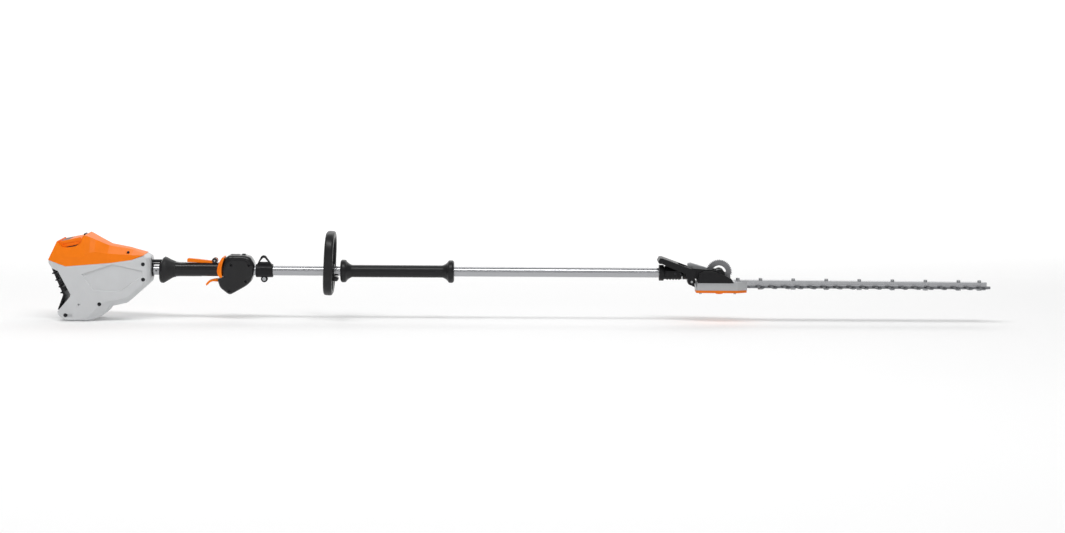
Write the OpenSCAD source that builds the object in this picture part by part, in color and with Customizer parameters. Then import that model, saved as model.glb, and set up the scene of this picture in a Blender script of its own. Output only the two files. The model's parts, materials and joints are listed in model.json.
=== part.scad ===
// Battery pole hedge trimmer: power head, pole with handles, tilting gear head and cutter bar.
// +X runs along the pole towards the blade tip, +Z is up. The origin is on the rest face under the head.

/* [Pole] */
// Height of the pole's centre line above the rest face
axis_z = 133; // [130:1:136]
// Outer diameter of the pole tube
pole_od = 26; // [25:0.5:26]
// Wall of the pole tube
pole_wall = 1.8; // [1.5:0.1:2.5]
// X of the pole tube's rear end, inside the power head
pole_x0 = 152; // [150:1:160]
// X of the pole tube's front end, inside the joint housing
pole_x1 = 1606; // [1600:1:1612]
// Radius of the drive shaft
shaft_r = 3.5; // [3:0.1:3.5]

/* [Power head] */
// Half width of the power head
head_half = 66; // [65:1:68]
// Wall thickness of the shells
wall = 3; // [2.5:0.5:3]
// Battery size front to back
battery_x = 62; // [60:1:62]
// Battery size across
battery_y = 100; // [96:1:100]
// Battery depth
battery_z = 110; // [108:1:112]
// Backward lean of the battery, degrees
battery_lean = 11.6; // [11:0.1:12]

/* [Handles] */
// Radius of the control handle's grip
grip_r = 19; // [18.5:0.5:19]
// Half width of the control hub
hub_half = 28; // [27:1:29]
// Outer height of the loop handle
loop_h = 172; // [168:1:176]
// Outer width of the loop handle
loop_w = 150; // [146:1:154]
// Outer radius of the grip sleeve
sleeve_r = 16.5; // [16:0.5:17]
// Flange radius of the grip sleeve
flange_r = 30.5; // [29:0.5:31]

/* [Gear head] */
// X of the tilt pivot and of the bevel gears' common apex
pivot_x = 1734; // [1732:1:1736]
// Teeth of the drive pinion and of the bevel shaft
pinion_teeth = 12; // [12:1:12]
// Teeth of the pivot gear
pivot_teeth = 16; // [16:4:20]
// Outer radius of the toothed quadrant
quadrant_r = 35; // [34:0.5:35]
// Offset of each eccentric from the crank axis
crank_throw = 8; // [7:0.5:8]

/* [Cutter] */
// Tooth pitch of the blades
tooth_pitch = 35; // [34:1:35]
// Teeth along each side of a blade
tooth_count = 18; // [18:1:18]
// Reach of the teeth either side of the centre
tooth_reach = 32; // [30:1:33]
// Thickness of one blade
blade_t = 3.2; // [3:0.1:3.2]
// X of the guide bar's tip
bar_x1 = 2453; // [2450:1:2455]

/* [Hidden] */
$fn = 48;

orange = [0.96, 0.47, 0.07];
shell_grey = [0.84, 0.85, 0.86];
black = [0.16, 0.16, 0.17];
dark = [0.28, 0.29, 0.3];
steel = [0.62, 0.63, 0.65];
silver = [0.76, 0.77, 0.79];

pole_r = pole_od / 2;
fit = 0.05;    // clearance between round parts that fit each other
gap = 0.3;     // clearance between parts that move past each other
big = 400;     // larger than any section that is cut

// Side outlines as [x, z] points
head_outline = [[-61, 165], [-61, 158], [-51, 143], [-34, 135], [0, 70], [-37, 27], [-38, 16],
    [-24, 5], [-12, 0], [42, 0], [60, 5], [78, 13], [88, 22], [98, 36], [109, 41], [146, 49],
    [192, 89], [206, 103], [208, 113], [208, 158], [205, 170], [192, 177], [161, 165], [109, 158],
    [-14, 148]];
head_crease = [[-60, 164], [-60, 157], [-51, 143], [-34, 135], [0, 70], [-37, 27], [-34, 18],
    [-21, 9], [-9, 5], [32, 7], [40, 12], [46, 17], [58, 30], [70, 41], [86, 52], [148, 65],
    [186, 98], [196, 108], [199, 114], [199, 156], [197, 167], [190, 175], [161, 165], [109, 158],
    [-14, 148]];
panel_outline = [[28, 127], [111, 155], [189, 135], [189, 122], [131, 80], [59, 84], [48, 98]];
screw_points = [[190, 153], [190, 112], [75, 47], [-16, 17]];
battery_top = [-3.5, 219.5];

battery_dir = [-sin(battery_lean), cos(battery_lean)];
latch_pivot = [35, 102];
battery_foot = battery_top - battery_z * battery_dir;
display_half = 44;

motor_x0 = 60;
motor_x1 = 128;
motor_r = 33;
stator_r = 30;
rotor_r = 16;
motor_shaft_r = 4;
bearing_r = 11;

hub_outline = [[384, 113], [391, 88], [414, 70], [422, 70], [464, 94], [475, 105], [481, 120],
    [484, 138], [484, 154], [474, 171], [457, 176], [417, 176], [406, 168], [399, 150], [397, 131],
    [401, 114]];
hub_centre = [438, 126];
slider_outline = [[399, 171], [389, 153], [384.5, 136], [386, 124], [392, 116], [399, 116], [396, 131],
    [398, 150], [405, 169]];
trigger_pivot = [396, 106];
lockout_pivot = [377, 160];

pivot_z = axis_z;
fork_in = 20;
fork_out = 26;
bevel_face = 4;
bevel_drop = 1.7;    // the bevel shaft runs this far clear of the pivot gear
bolt_r = 3.5;
spur_small = 12;
spur_large = 30;
crank_x = pivot_x + (spur_small + spur_large) / 2;
cam_r = 5;
lever_pivot = [1658, 112];
lock_angle = 168;
lock_y = 16.9;
lock_r = 2.4;

case_x0 = 1669;
case_x1 = 1808;
case_half = 31;
case_z0 = 89;
case_z1 = 112;
cover_z0 = 80;

blade_z1 = 100.7;
blade_z0 = 97.2;
blade_x0 = 1838;
spine_half = 13;
blade_x1 = blade_x0 + tooth_count * tooth_pitch - 8;
bar_z0 = 101;
bolt_xs = [1784, 1845, 1933, 2022, 2111, 2200, 2289, 2378, 2434];
blade_stroke = 8.5;
blade_bush_r = 4;

// ---------- shared shapes ----------

// Extrudes an [x, z] outline across the object from y0 to y1
module side_prism(points, y0, y1) {
    translate([0, y1, 0]) rotate([90, 0, 0]) linear_extrude(y1 - y0) polygon(points);
}

// Extrudes an [x, y] outline upwards from z0 to z1
module plan_prism(points, z0, z1) {
    translate([0, 0, z0]) linear_extrude(z1 - z0) polygon(points);
}

// Round bar along X on the pole's centre line
module bar_x(x0, x1, r) {
    translate([x0, 0, axis_z]) rotate([0, 90, 0]) cylinder(h = x1 - x0, r = r);
}

// Tube along X on the pole's centre line
module sleeve_x(x0, x1, r_out, r_in) {
    difference() {
        bar_x(x0, x1, r_out);
        bar_x(x0 - 1, x1 + 1, r_in);
    }
}

// Round bar across the object at point p = [x, z]
module bar_y(p, y0, y1, r) {
    translate([p[0], y1, p[1]]) rotate([90, 0, 0]) cylinder(h = y1 - y0, r = r);
}

// Upright round bar at point p = [x, y]
module bar_z(p, z0, z1, r) {
    translate([p[0], p[1], z0]) cylinder(h = z1 - z0, r = r);
}

// Box between two corners
module block(low, high) {
    translate(low) cube(high - low);
}

// One side of a moulding: straight to y_flat, then bevelled in to the crease outline at y_out
module bevelled_side(outline, crease, y_flat, y_out) {
    n = len(outline);
    rings = concat([for (p = outline) [p[0], 0, p[1]]], [for (p = outline) [p[0], y_flat, p[1]]],
        [for (p = crease) [p[0], y_out, p[1]]]);
    sides = [for (k = [0, 1]) for (i = [0 : n - 1])
        [k * n + i, k * n + (i + 1) % n, (k + 1) * n + (i + 1) % n, (k + 1) * n + i]];
    polyhedron(rings, concat(sides, [[for (i = [n - 1 : -1 : 0]) i], [for (i = [0 : n - 1]) 2 * n + i]]),
        convexity = 6);
}

// Outline drawn towards a centre by factor k
function drawn_in(points, centre, k) = [for (p = points) centre + (p - centre) * k];

// Keeps only one side of the centre plane: side is -1 for the right half, 1 for the left
module half(side) {
    intersection() {
        children();
        translate([-big, side > 0 ? 0 : -big, -big]) cube([3000, big, 2 * big]);
    }
}

// Places children in the battery's own frame: origin under its foot, +Z along its sliding way
module in_battery_frame() {
    translate([battery_foot[0], 0, battery_foot[1]]) rotate([0, -battery_lean, 0]) children();
}

// Spur gear, module 1, with straight-sided teeth
module spur(teeth, h, backlash = 0.35) {
    pitch = 360 / teeth;
    half_tooth = 90 / teeth - backlash * 90 / (PI * teeth);
    r = teeth / 2;
    root = r - 1.2;
    flank = [for (i = [0 : teeth - 1]) for (s = [[root, -1.7], [r, -1], [r + 0.8, -0.45],
        [r + 0.8, 0.45], [r, 1], [root, 1.7]])
        s[0] * [cos(i * pitch + s[1] * half_tooth), sin(i * pitch + s[1] * half_tooth)]];
    linear_extrude(h) polygon(flank);
}

// Bevel gear, module 1: apex at the origin, teeth above a pitch plane at z = -mate_teeth / 2
module bevel(teeth, mate_teeth, turn = 0) {
    r = teeth / 2;
    depth = mate_teeth / 2;
    k = 1 - bevel_face / norm([r, depth]);
    pitch = 360 / teeth;
    half_tooth = 90 / teeth;
    translate([0, 0, -depth]) linear_extrude(depth * (1 - k), scale = k)
        polygon([for (i = [0 : teeth - 1]) for (s = [[-1.3, -1.5], [0.6, -0.45], [0.6, 0.45], [-1.3, 1.5]])
            (r + s[0]) * [cos(i * pitch + s[1] * half_tooth + turn), sin(i * pitch + s[1] * half_tooth + turn)]]);
}

// ---------- power head ----------

// Plan of the head, drawn in by an inset at both sides and at the front
function head_plan(inset) = let (w = head_half - inset, nose = 46 - inset)
    [[-70, 8 - w], [-30, -w], [100, -w], [209 - inset, -nose], [209 - inset, nose], [100, w], [-30, w],
     [-70, w - 8]];

// Half width of the head at x
function half_at(x) = x < 100 ? head_half : head_half - (x - 100) * (head_half - 46) / 109;

// Outline between the middle outline (k = 0) and the side crease (k = 1)
function head_side(k) = [for (i = [0 : len(head_outline) - 1])
    head_outline[i] * (1 - k) + head_crease[i] * k];

// One layer of the head: k = 0 is the narrow middle, k = 1 the full width
module head_layer(k, inset) {
    intersection() {
        translate([0, 100, 0]) rotate([90, 0, 0]) linear_extrude(200) offset(delta = -inset)
            polygon(head_side(k));
        plan_prism(head_plan(bevel_w * (1 - k) + inset), -1, 300);
    }
}

bevel_w = 15;
split_region = [[-90, 165], [-61, 165], [-14, 148], [109, 158], [161, 165], [192, 177], [230, 177],
    [230, 300], [-90, 300]];
cover_block = [[-61, 165], [-37, 215], [29, 225], [36, 231], [64, 218], [64, 150], [-14, 140], [-61, 160]];

module shell_cavity() {
    for (k = [0, 1]) {
        head_layer(k, wall);
    }
    intersection() {
        side_prism([[-56, 158], [-14, 142], [109, 150], [161, 158], [190, 171], [161, 190], [-20, 190],
            [-51, 175]], -100, 100);
        plan_prism(head_plan(wall), -1, 300);
    }
}

// Grille window in the rear notch
module notch_window(grow) {
    side_prism([[-54 - grow, 143], [-36, 133 + grow], [-2 + grow, 70], [-36, 30 - grow], [-60, 30]],
        -56 - grow, 56 + grow);
}

module housing_half(side) {
    half(side) difference() {
        union() {
            difference() {
                for (k = [0 : 1 / 3 : 1]) {
                    head_layer(k, 0);
                }
                shell_cavity();
                notch_window(0);
            }
            for (p = screw_points) {
                bar_y(p, 1 - half_at(p[0]), -22, 6.5);
                bar_y(p, -23, 23, 2.9);
                bar_y(p, 22, half_at(p[0]) - 1, 6.5);
            }
        }
        for (p = screw_points) {
            bar_y(p, -big, screw_depth - half_at(p[0]), 4.6);
            bar_y(p, -half_at(p[0]), 32, 2);
        }
        difference() {
            side_prism(panel_outline, -big, big);
            plan_prism(head_plan(1.4), -10, big);
        }
        bar_x(190, 215, 17 + fit);
        block([190, -14, 142], [215, 2, 166]);
        for (x = [112 : 7 : 140]) {
            block([x, -30, 36], [x + 3.5, 30, 56]);
        }
        block([-14, -30, -1], [42, 30, 1.5]);
        block([-13, -big, 13], [0, 1.5 - head_half, 20]);
    }
}

screw_depth = 6;
module housing_right() {
    color(shell_grey) housing_half(-1);
}

module housing_left() {
    color(shell_grey) housing_half(1);
}

module rest_pad() {
    color(shell_grey) block([-14 + fit, -30 + fit, 0], [42 - fit, 30 - fit, 1.5]);
}

// Cross-section of the cover at x: full width up to the crease, then in to the ridge
module cover_slice(x, side_half, crease_z, ridge_half, ridge_z, inset) {
    translate([x, 0, 0]) rotate([90, 0, 90]) linear_extrude(0.02)
        polygon([[-side_half + inset, 140], [-side_half + inset, crease_z - inset],
            [-ridge_half + inset / 2, ridge_z - inset], [ridge_half - inset / 2, ridge_z - inset],
            [side_half - inset, crease_z - inset], [side_half - inset, 140]]);
}

module cover_front(inset) {
    hull() {
        cover_slice(50, head_half, 190, 44, 224.5, inset);
        cover_slice(98, head_half, 183, 28, 202, inset);
    }
    hull() {
        cover_slice(98, head_half, 183, 28, 202, inset);
        cover_slice(151, half_at(151), 179, 22, 193, inset);
        cover_slice(168, half_at(168), 177, 18, 187, inset);
        cover_slice(192 - inset, half_at(192), 170, 14, 177, inset);
    }
}

module cover_rear(inset) {
    intersection() {
        translate([0, 200, 0]) rotate([90, 0, 0]) linear_extrude(400) offset(delta = -inset)
            polygon(cover_block);
        plan_prism(head_plan(inset), 0, 300);
        translate([-100, 0, 0]) rotate([90, 0, 90]) linear_extrude(220) offset(delta = -inset)
            polygon([[-head_half, 100], [-head_half, 172], [-57, 232], [57, 232], [head_half, 172],
                [head_half, 100]]);
    }
}

// The battery's way through the cover, with finger scallops at both sides
module battery_opening() {
    in_battery_frame() block([-32.4, -51.4, -10], [32.4, 51.4, battery_z + 60]);
    side_prism([[-40, 260], [-33, 209], [-24, 199.5], [-10, 198], [11, 201], [27, 210], [31, 224], [31, 260]],
        -90, 90);
    in_battery_frame() block([30, -19, 92], [39.6, 19, battery_z + 60]);
}

module top_cover() {
    color(orange) difference() {
        intersection() {
            union() {
                cover_rear(0);
                cover_front(0);
            }
            side_prism(split_region, -90, 90);
            plan_prism(head_plan(0), 100, 300);
        }
        cover_rear(wall);
        cover_front(wall);
        battery_opening();
    }
}

module housing_screws() {
    color(dark) for (p = screw_points) {
        bar_y(p, screw_depth - 2.5 - half_at(p[0]), screw_depth - half_at(p[0]), 3.6);
        bar_y(p, screw_depth - half_at(p[0]), 30, 1.9);
    }
}

module battery_tray() {
    color(black) difference() {
        in_battery_frame() difference() {
            block([-33.4, -53.4, -3], [33.9, 53.4, 78]);
            for (y = [-18.4, 15.4]) {
                block([32, y, 60], [38.5, y + 3, 105]);
            }
            block([-31.4, -50.6, -0.3], [31.4, 50.6, 79]);
            for (y = [-18, -6, 6, 18]) {
                block([-6, y - 2, -4], [6, y + 2, 1]);
            }
            bar_y(latch_pivot, -20, 20, 1.5 + fit);
        }
        in_battery_frame() rotate([0, 45, 0]) block([-40, -60, -60], [-26, 60, 60]);
    }
}

module terminal_block() {
    color(dark) in_battery_frame() {
        block([-14, -30, -11], [14, 30, -3 - fit]);
        for (y = [-18, -6, 6, 18]) {
            block([-5, y - 0.6, -3.1], [5, y + 0.6, 10]);
        }
    }
}

grille_ribs = [[-45.5, 128], [-37, 110], [-29, 92], [-24, 76]];
module intake_grille() {
    skin = [[-51, 141], [-22, 71], [-37, 31], [-34, 31], [-18, 70], [-47.5, 139]];
    cheek = [[-51, 141], [-22, 71], [-37, 31], [-4, 69.5], [-36.5, 130.5]];
    color(black) difference() {
        union() {
            side_prism(skin, -55.5, 55.5);
            for (s = [-55.5, 53]) {
                side_prism(cheek, s, s + 2.5);
            }
            for (p = grille_ribs) {
                block([p[0] - 5, -55.5, p[1] - 1.5], [p[0] + 2, 55.5, p[1] + 1.5]);
            }
        }
        for (y = [-45 : 15 : 45]) {
            side_prism([[-60, 132], [-30, 132], [-10, 80], [-40, 76]], y - 5.5, y + 5.5);
        }
        for (p = [[-37, 118], [-28, 99], [-19, 81]]) {
            side_prism([[p[0] + 1, p[1] + 7], [p[0] + 7, p[1] + 6], [p[0] + 14, p[1] - 6], [p[0] + 8, p[1] - 7]],
                -70, 70);
        }
    }
}

module motor_can() {
    color(steel) difference() {
        union() {
            bar_x(motor_x0 - 2, motor_x1, motor_r);
            bar_x(motor_x0 - 8, motor_x0 - 1, 14);
        }
        bar_x(motor_x0, motor_x1 + 1, stator_r + fit);
        bar_x(motor_x0 - 7, motor_x0 + 1, bearing_r + fit);
        bar_x(motor_x0 - 9, motor_x0, 6);
        for (a = [0 : 60 : 300]) {
            translate([110, 0, axis_z]) rotate([a, 0, 0]) block([2, -7, 20], [14, 7, 40]);
        }
    }
}

module motor_stator() {
    color("sienna") difference() {
        bar_x(64, 108, stator_r);
        bar_x(60, 112, rotor_r + 0.6);
        for (a = [0 : 30 : 330]) {
            translate([0, 0, axis_z]) rotate([a, 0, 0]) block([60, -2.5, 18.5], [112, 2.5, 26]);
        }
    }
}

module motor_flange() {
    color(dark) difference() {
        union() {
            block([motor_x1 + fit, -37, axis_z - 34], [motor_x1 + 5, 37, axis_z + 20]);
            bar_x(motor_x1 + fit, motor_x1 + 11, 15);
        }
        bar_x(motor_x1 + 2, motor_x1 + 12, bearing_r + fit);
        bar_x(motor_x1 - 1, motor_x1 + 12, 8);
    }
}

module motor_bearings() {
    color(silver) {
        sleeve_x(motor_x0 - 6.9, motor_x0 - 0.1, bearing_r, motor_shaft_r + fit);
        sleeve_x(motor_x1 + 2.1, motor_x1 + 9, bearing_r, motor_shaft_r + fit);
    }
}

module motor_rotor() {
    color("dimgray") {
        difference() {
            bar_x(65, 107, rotor_r);
            bar_x(60, 112, motor_shaft_r);
        }
        bar_x(motor_x0 - 6, 146, motor_shaft_r);
    }
}

module motor_fan() {
    color(black) {
        sleeve_x(112, 125, 8, motor_shaft_r + 0.02);
        for (a = [0 : 40 : 320]) {
            translate([0, 0, axis_z]) rotate([a, 0, 0]) block([112, -0.8, 7.8], [125, 0.8, 27]);
        }
    }
}

module motor_controller() {
    color("darkgreen") {
        block([16, -44, 66], [96, 44, 68]);
        for (x = [24 : 16 : 72]) {
            block([x, -30, 68], [x + 9, -22, 74]);
            block([x, 14, 68], [x + 9, 22, 73]);
        }
        bar_z([86, 0], 68, 80, 6);
    }
}

module pole_socket() {
    color(black) difference() {
        union() {
            bar_x(150, 212, 17);
            block([152, -30, 112], [180, 30, 122]);
        }
        bar_x(140, 220, pole_r + fit);
    }
}

// Cables above the pole as [y, z, radius]
cables = [[-6, 158, 4.4], [-9, 151, 2.2]];
module control_cables() {
    color(black) {
        for (c = cables) {
            translate([200, c[0], c[1]]) rotate([0, 90, 0]) cylinder(h = 35, r = c[2]);
        }
    }
}

// ---------- battery ----------

module battery_case() {
    color(dark) in_battery_frame() difference() {
        block([-battery_x / 2, -battery_y / 2, 0], [battery_x / 2, battery_y / 2, 92]);
        for (y = [-18, -6, 6, 18]) {
            block([-7, y - 2, -1], [7, y + 2, 14]);
        }
    }
}

module battery_cap() {
    color(orange) in_battery_frame() difference() {
        intersection() {
            block([-battery_x / 2, -battery_y / 2, 92], [battery_x / 2, battery_y / 2, battery_z]);
            side_prism([[-31, 92], [-31, 106], [-27, 110], [27, 110], [31, 106], [31, 92]], -60, 60);
        }
        block([-26, -display_half, battery_z - 2], [-3, display_half, battery_z + 1]);
    }
}

module battery_display() {
    color(black) in_battery_frame()
        block([-26 + fit, fit - display_half, battery_z - 2 + fit], [-3 - fit, display_half - fit, battery_z - 0.4]);
}

module battery_latch() {
    color(black) in_battery_frame() difference() {
        side_prism([[31.7, 99], [31.7, 112], [33, 115.5], [36.5, 115.5], [37.5, 110], [37.5, 99]], -15, 15);
        bar_y(latch_pivot, -16, 16, 1.5 + fit);
    }
}

module latch_pin() {
    color(steel) in_battery_frame() bar_y(latch_pivot, -18.4, 18.4, 1.5);
}

// ---------- pole and handles ----------

module pole_tube() {
    color(silver) difference() {
        sleeve_x(pole_x0, pole_x1, pole_r, pole_r - pole_wall);
        translate([220, 0, axis_z]) rotate([90, 0, 0]) cylinder(h = 40, r = 2.2);
    }
}

bush_xs = [230, 500, 770, 1040, 1310, 1570];
module shaft_bushes() {
    color("tan") for (x = bush_xs) {
        sleeve_x(x, x + 26, pole_r - pole_wall - fit, shaft_r + fit);
    }
}

module drive_shaft() {
    color(steel) {
        difference() {
            bar_x(140, 162, 8);
            bar_x(139, 146.5, motor_shaft_r + 0.02);
        }
        bar_x(162, pivot_x - pivot_teeth / 2, shaft_r);
        translate([pivot_x, 0, pivot_z]) rotate([0, 90, 0]) bevel(pinion_teeth, pivot_teeth, 15);
    }
}

// Outer form of the control handle, both halves
module handle_form() {
    translate([0, 0, 2.5]) bar_x(250, 412, grip_r);
    intersection() {
        translate([0, 0, axis_z + 0.5]) rotate([0, 90, 0]) rotate_extrude()
            polygon([[0, 226], [35, 226], [35, 240], [grip_r, 274], [0, 274]]);
        side_prism([[226, 98], [232, 98], [266, 116], [300, 116], [300, 170], [262, 160], [243, 169],
            [235, 160]], -60, 60);
    }
    for (s = [0, 1]) {
        mirror([0, s, 0]) bevelled_side(hub_outline, drawn_in(hub_outline, hub_centre, 0.86), 18, hub_half);
    }
    bar_y(lockout_pivot, -11, 11, 8);
}

module handle_half(side) {
    color(black) half(side) difference() {
        handle_form();
        bar_x(200, 500, pole_r + fit);
        // cable ways in the rear face
        for (c = cables) {
            translate([220, c[0], c[1]]) rotate([0, 90, 0]) cylinder(h = 16, r = c[2] + fit);
        }
        // lockout lever slot
        block([298, -8.3, 149.4], [369, 8.3, 200]);
        bar_y(lockout_pivot, -7.3, 7.3, 9);
        block([364, -7.3, 149.4], [386, 7.3, 158]);
        // trigger slot and switch pocket
        block([340, -8.3, 80], [407, 8.3, 118.5]);
        block([407, -16, 92], [452, 16, 118.5]);
        // display and button seats
        block([420, -13, 174.4], [444, 13, 180]);
        bar_z([455, 0], 160, 180, 5.3);
        for (p = handle_screw_points) {
            bar_y(p, -60, 24, 1.8);
            bar_y(p, -60, -17, 3.6);
        }
        bar_y(trigger_pivot, -12, 12, 2);
        bar_y(lockout_pivot, -20, 20, 2);
    }
}

handle_screw_points = [[423, 150], [471, 149.5], [417, 80], [462, 106], [285, 116.8]];

module handle_right() {
    handle_half(-1);
}

module handle_left() {
    handle_half(1);
}

module handle_screws() {
    color(steel) {
        for (p = [for (i = [0 : 3]) handle_screw_points[i]]) {
            bar_y(p, -20, -17.1, 3.3);
            bar_y(p, -17.1, 22, 1.7);
        }
        bar_y(lockout_pivot, -13, 13, 1.95);
        bar_y(trigger_pivot, -11.9, 11.9, 1.95);
    }
}

module trigger_switch() {
    color(dark) {
        block([416, -9, 96], [440, 9, 112]);
        block([413.5, -3, 104], [416, 3, 108]);
    }
}

module trigger() {
    color(orange) difference() {
        union() {
            side_prism([[354, 91], [363, 100.5], [372, 104], [386, 103], [392, 100], [402, 103], [402, 112],
                [386, 112], [372, 110], [361, 106.5], [352, 97]], -8, 8);
            bar_y(trigger_pivot, -8, 8, 6);
        }
        bar_y(trigger_pivot, -12, 12, 1.95 + fit);
    }
}

module lockout_lever() {
    color(orange) difference() {
        union() {
            side_prism([[303, 155.5], [303, 165], [306, 165.5], [360, 160], [378, 158], [378, 153], [360, 153.5]],
                -7, 7);
            bar_y(lockout_pivot, -7, 7, 6.5);
        }
        bar_y(lockout_pivot, -12, 12, 1.95 + fit);
    }
}

module unlock_slider() {
    color(orange) difference() {
        side_prism(slider_outline, -26, 26);
        translate([0, 0, 2.5]) bar_x(370, 420, grip_r + gap);
        block([370, -grip_r - gap, 100], [420, grip_r + gap, 135]);
    }
}

module display_panel() {
    color(dark) block([420 + fit, -13 + fit, 174.4 + fit], [444 - fit, 13 - fit, 176.4]);
}

module power_button() {
    color(dark) bar_z([455, 0], 166, 178.2, 5);
}

module carrying_ring() {
    color(black) difference() {
        union() {
            bar_x(487, 533, 18);
            side_prism([[489, 148], [501, 171], [506, 174.5], [513, 173], [531, 148]], -5, 5);
            bar_y([509.5, 111], -6, 6, 9);
            block([502, -6, 111], [517, 6, 119]);
        }
        bar_x(480, 540, pole_r + fit);
        side_prism([[497, 156.5], [506, 167.5], [511, 167.5], [520, 156.5]], -10, 10);
        bar_y([509.5, 111], -10, 10, 3 + fit);
    }
}

module ring_screw() {
    color(silver) {
        bar_y([509.5, 111], -6, 6, 3);
        bar_y([509.5, 111], -9, -6, 5);
        bar_y([509.5, 111], 6, 9, 5);
    }
}

// Half outline of the loop in the YZ plane, as circles of r at the four corners
module loop_outline(inset) {
    r = 62 - inset;
    hull() {
        for (y = [-1, 1]) {
            translate([y * (loop_w / 2 - 62), loop_h - 62]) circle(r, $fn = 64);
            translate([y * (loop_w / 2 - 62), 62]) circle(r, $fn = 64);
        }
    }
}

loop_x = 670;
loop_z0 = 70;
module loop_handle() {
    color(black) difference() {
        union() {
            translate([loop_x, 0, loop_z0]) rotate([0, 2.5, 0]) rotate([90, 0, 90]) linear_extrude(24)
                difference() {
                    loop_outline(0);
                    loop_outline(19);
                }
            bar_x(loop_x + 2, loop_x + 28, 19);
            block([loop_x + 3, -15, loop_z0 + 12], [loop_x + 25, 15, axis_z - 12]);
            bar_y([loop_x + 33, 112], -12, 12, 6);
            block([loop_x + 20, -12, 107], [loop_x + 33, 12, 118]);
        }
        bar_x(loop_x - 10, loop_x + 60, pole_r + fit);
        bar_y([loop_x + 33, 112], -20, 20, 2.6);
    }
}

module loop_screws() {
    color(steel) {
        bar_y([loop_x + 33, 112], -15, 15, 2.5);
        bar_y([loop_x + 33, 112], -15, -12.1, 4.5);
        bar_y([loop_x + 33, 112], 12.1, 15, 4.5);
    }
}

module grip_sleeve() {
    color(black) translate([0, 0, axis_z]) rotate([0, 90, 0]) rotate_extrude()
        polygon([[pole_r + fit, 715], [flange_r - 4, 715], [flange_r, 719], [flange_r, 727],
            [flange_r - 3, 731], [sleeve_r, 745], [sleeve_r, 990], [flange_r - 3, 1004],
            [flange_r, 1008], [flange_r, 1016], [flange_r - 4, 1020], [pole_r + fit, 1020]]);
}

// ---------- tilt joint ----------

module clamp_collar() {
    color(black) sleeve_x(1571, 1584, 21.5, pole_r + fit);
}

module joint_housing() {
    color(black) difference() {
        union() {
            bar_x(1584, 1644, 17.5);
            block([1588, -22, 126], [1640, 22, 140]);
            block([1588, -6, 142], [1632, 6, 153]);
            for (x = [1592 : 8 : 1632]) {
                bar_x(x, x + 3, 19);
            }
        }
        bar_x(1580, pole_x1, pole_r + fit);
        bar_x(pole_x1 - 1, 1650, 8);
        for (x = joint_screw_xs) {
            bar_y([x, 133], -30, 30, 2);
            for (y = [-30, 19.5]) {
                block([x - 3.4, y, 129.5], [x + 3.4, y + 10.5, 136.5]);
            }
        }
    }
}

joint_screw_xs = [1614, 1629];
module joint_screws() {
    color(steel) for (x = joint_screw_xs) {
        for (s = [0, 1]) {
            mirror([0, s, 0]) {
                bar_y([x, 133], 9, 19.6, 1.95);
                bar_y([x, 133], 19.55, 21.5, 3.2);
            }
        }
    }
}

module fork_arm(side) {
    y0 = side > 0 ? fork_in : -fork_out;
    difference() {
        union() {
            side_prism([[1655, axis_z - 14], [1655, axis_z + 15], [pivot_x - 8, axis_z + 10],
                [pivot_x - 8, axis_z - 10]], y0, y0 + 6);
            bar_y([pivot_x, pivot_z], y0, y0 + 6, 13);
        }
        bar_y([pivot_x, pivot_z], -40, 40, bolt_r + 1 + fit);
    }
}

module pivot_fork() {
    color(silver) difference() {
        union() {
            bar_x(1644, 1662, 17);
            block([1644, -fork_out, axis_z - 14], [1662, fork_out, axis_z + 15]);
            fork_arm(-1);
            fork_arm(1);
            // ear of the lever pin
            bar_y(lever_pivot, -15.5, 15.5, 11);
            // guide of the lock pin
            side_prism([[1650, 146], [1648, 158], [1656, 160], [1703, 146], [1703, 134], [1662, 134]], 8, 20.5);
        }
        bar_x(1640, 1670, 8);
        bar_y(lever_pivot, -40, 40, 3 + fit);
        lock_bar(20, 110, lock_r + fit);
        bar_y([pivot_x, pivot_z], -18.9, 19.2, quadrant_r + 0.6);
    }
}

// Round bar on the lock pin's line, which is aimed at the pivot, between two distances from it
module lock_bar(from, to, r) {
    translate([pivot_x, lock_y, pivot_z]) rotate([0, 90 - lock_angle, 0]) translate([0, 0, from])
        cylinder(h = to - from, r = r);
}

module lock_pin() {
    color(steel) lock_bar(quadrant_r + 0.5, quadrant_r + 40, lock_r);
}

module lever_pin() {
    color(steel) bar_y(lever_pivot, -34, 34, 3);
}

module pivot_bolt() {
    color(steel) {
        bar_y([pivot_x, pivot_z], -26.5, 26.5, bolt_r);
        for (s = [-26.5, 20.05]) {
            difference() {
                bar_y([pivot_x, pivot_z], s, s + 6.45, bolt_r + 1);
                bar_y([pivot_x, pivot_z], -30, 30, bolt_r);
            }
        }
    }
}

lever_side = [[1571, 160], [1567, 165], [1572, 175], [1579, 175], [1667, 143], [1669, 136], [1665, 112],
    [1666.5, 98], [1659, 101], [1648, 108], [1647, 118], [1641, 134], [1604, 148], [1578, 160]];
module lock_lever() {
    color(black) difference() {
        side_prism(lever_side, -32.5, 32.5);
        // space between the lever's two cheeks
        block([1560, -26.6, 80], [1640, 26.6, 159]);
        block([1624, -26.6, 80], [1700, 26.6, 200]);
        bar_y(lever_pivot, -40, 40, 3 + fit);
    }
}

// ---------- gear head ----------

module pivot_gear() {
    color(steel) difference() {
        union() {
            translate([pivot_x, 0, pivot_z]) rotate([-90, 0, 0]) bevel(pivot_teeth, pinion_teeth);
            bar_y([pivot_x, pivot_z], -12.4, -pinion_teeth / 2, 6);
        }
        bar_y([pivot_x, pivot_z], -30, 30, bolt_r + fit);
    }
}

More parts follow.
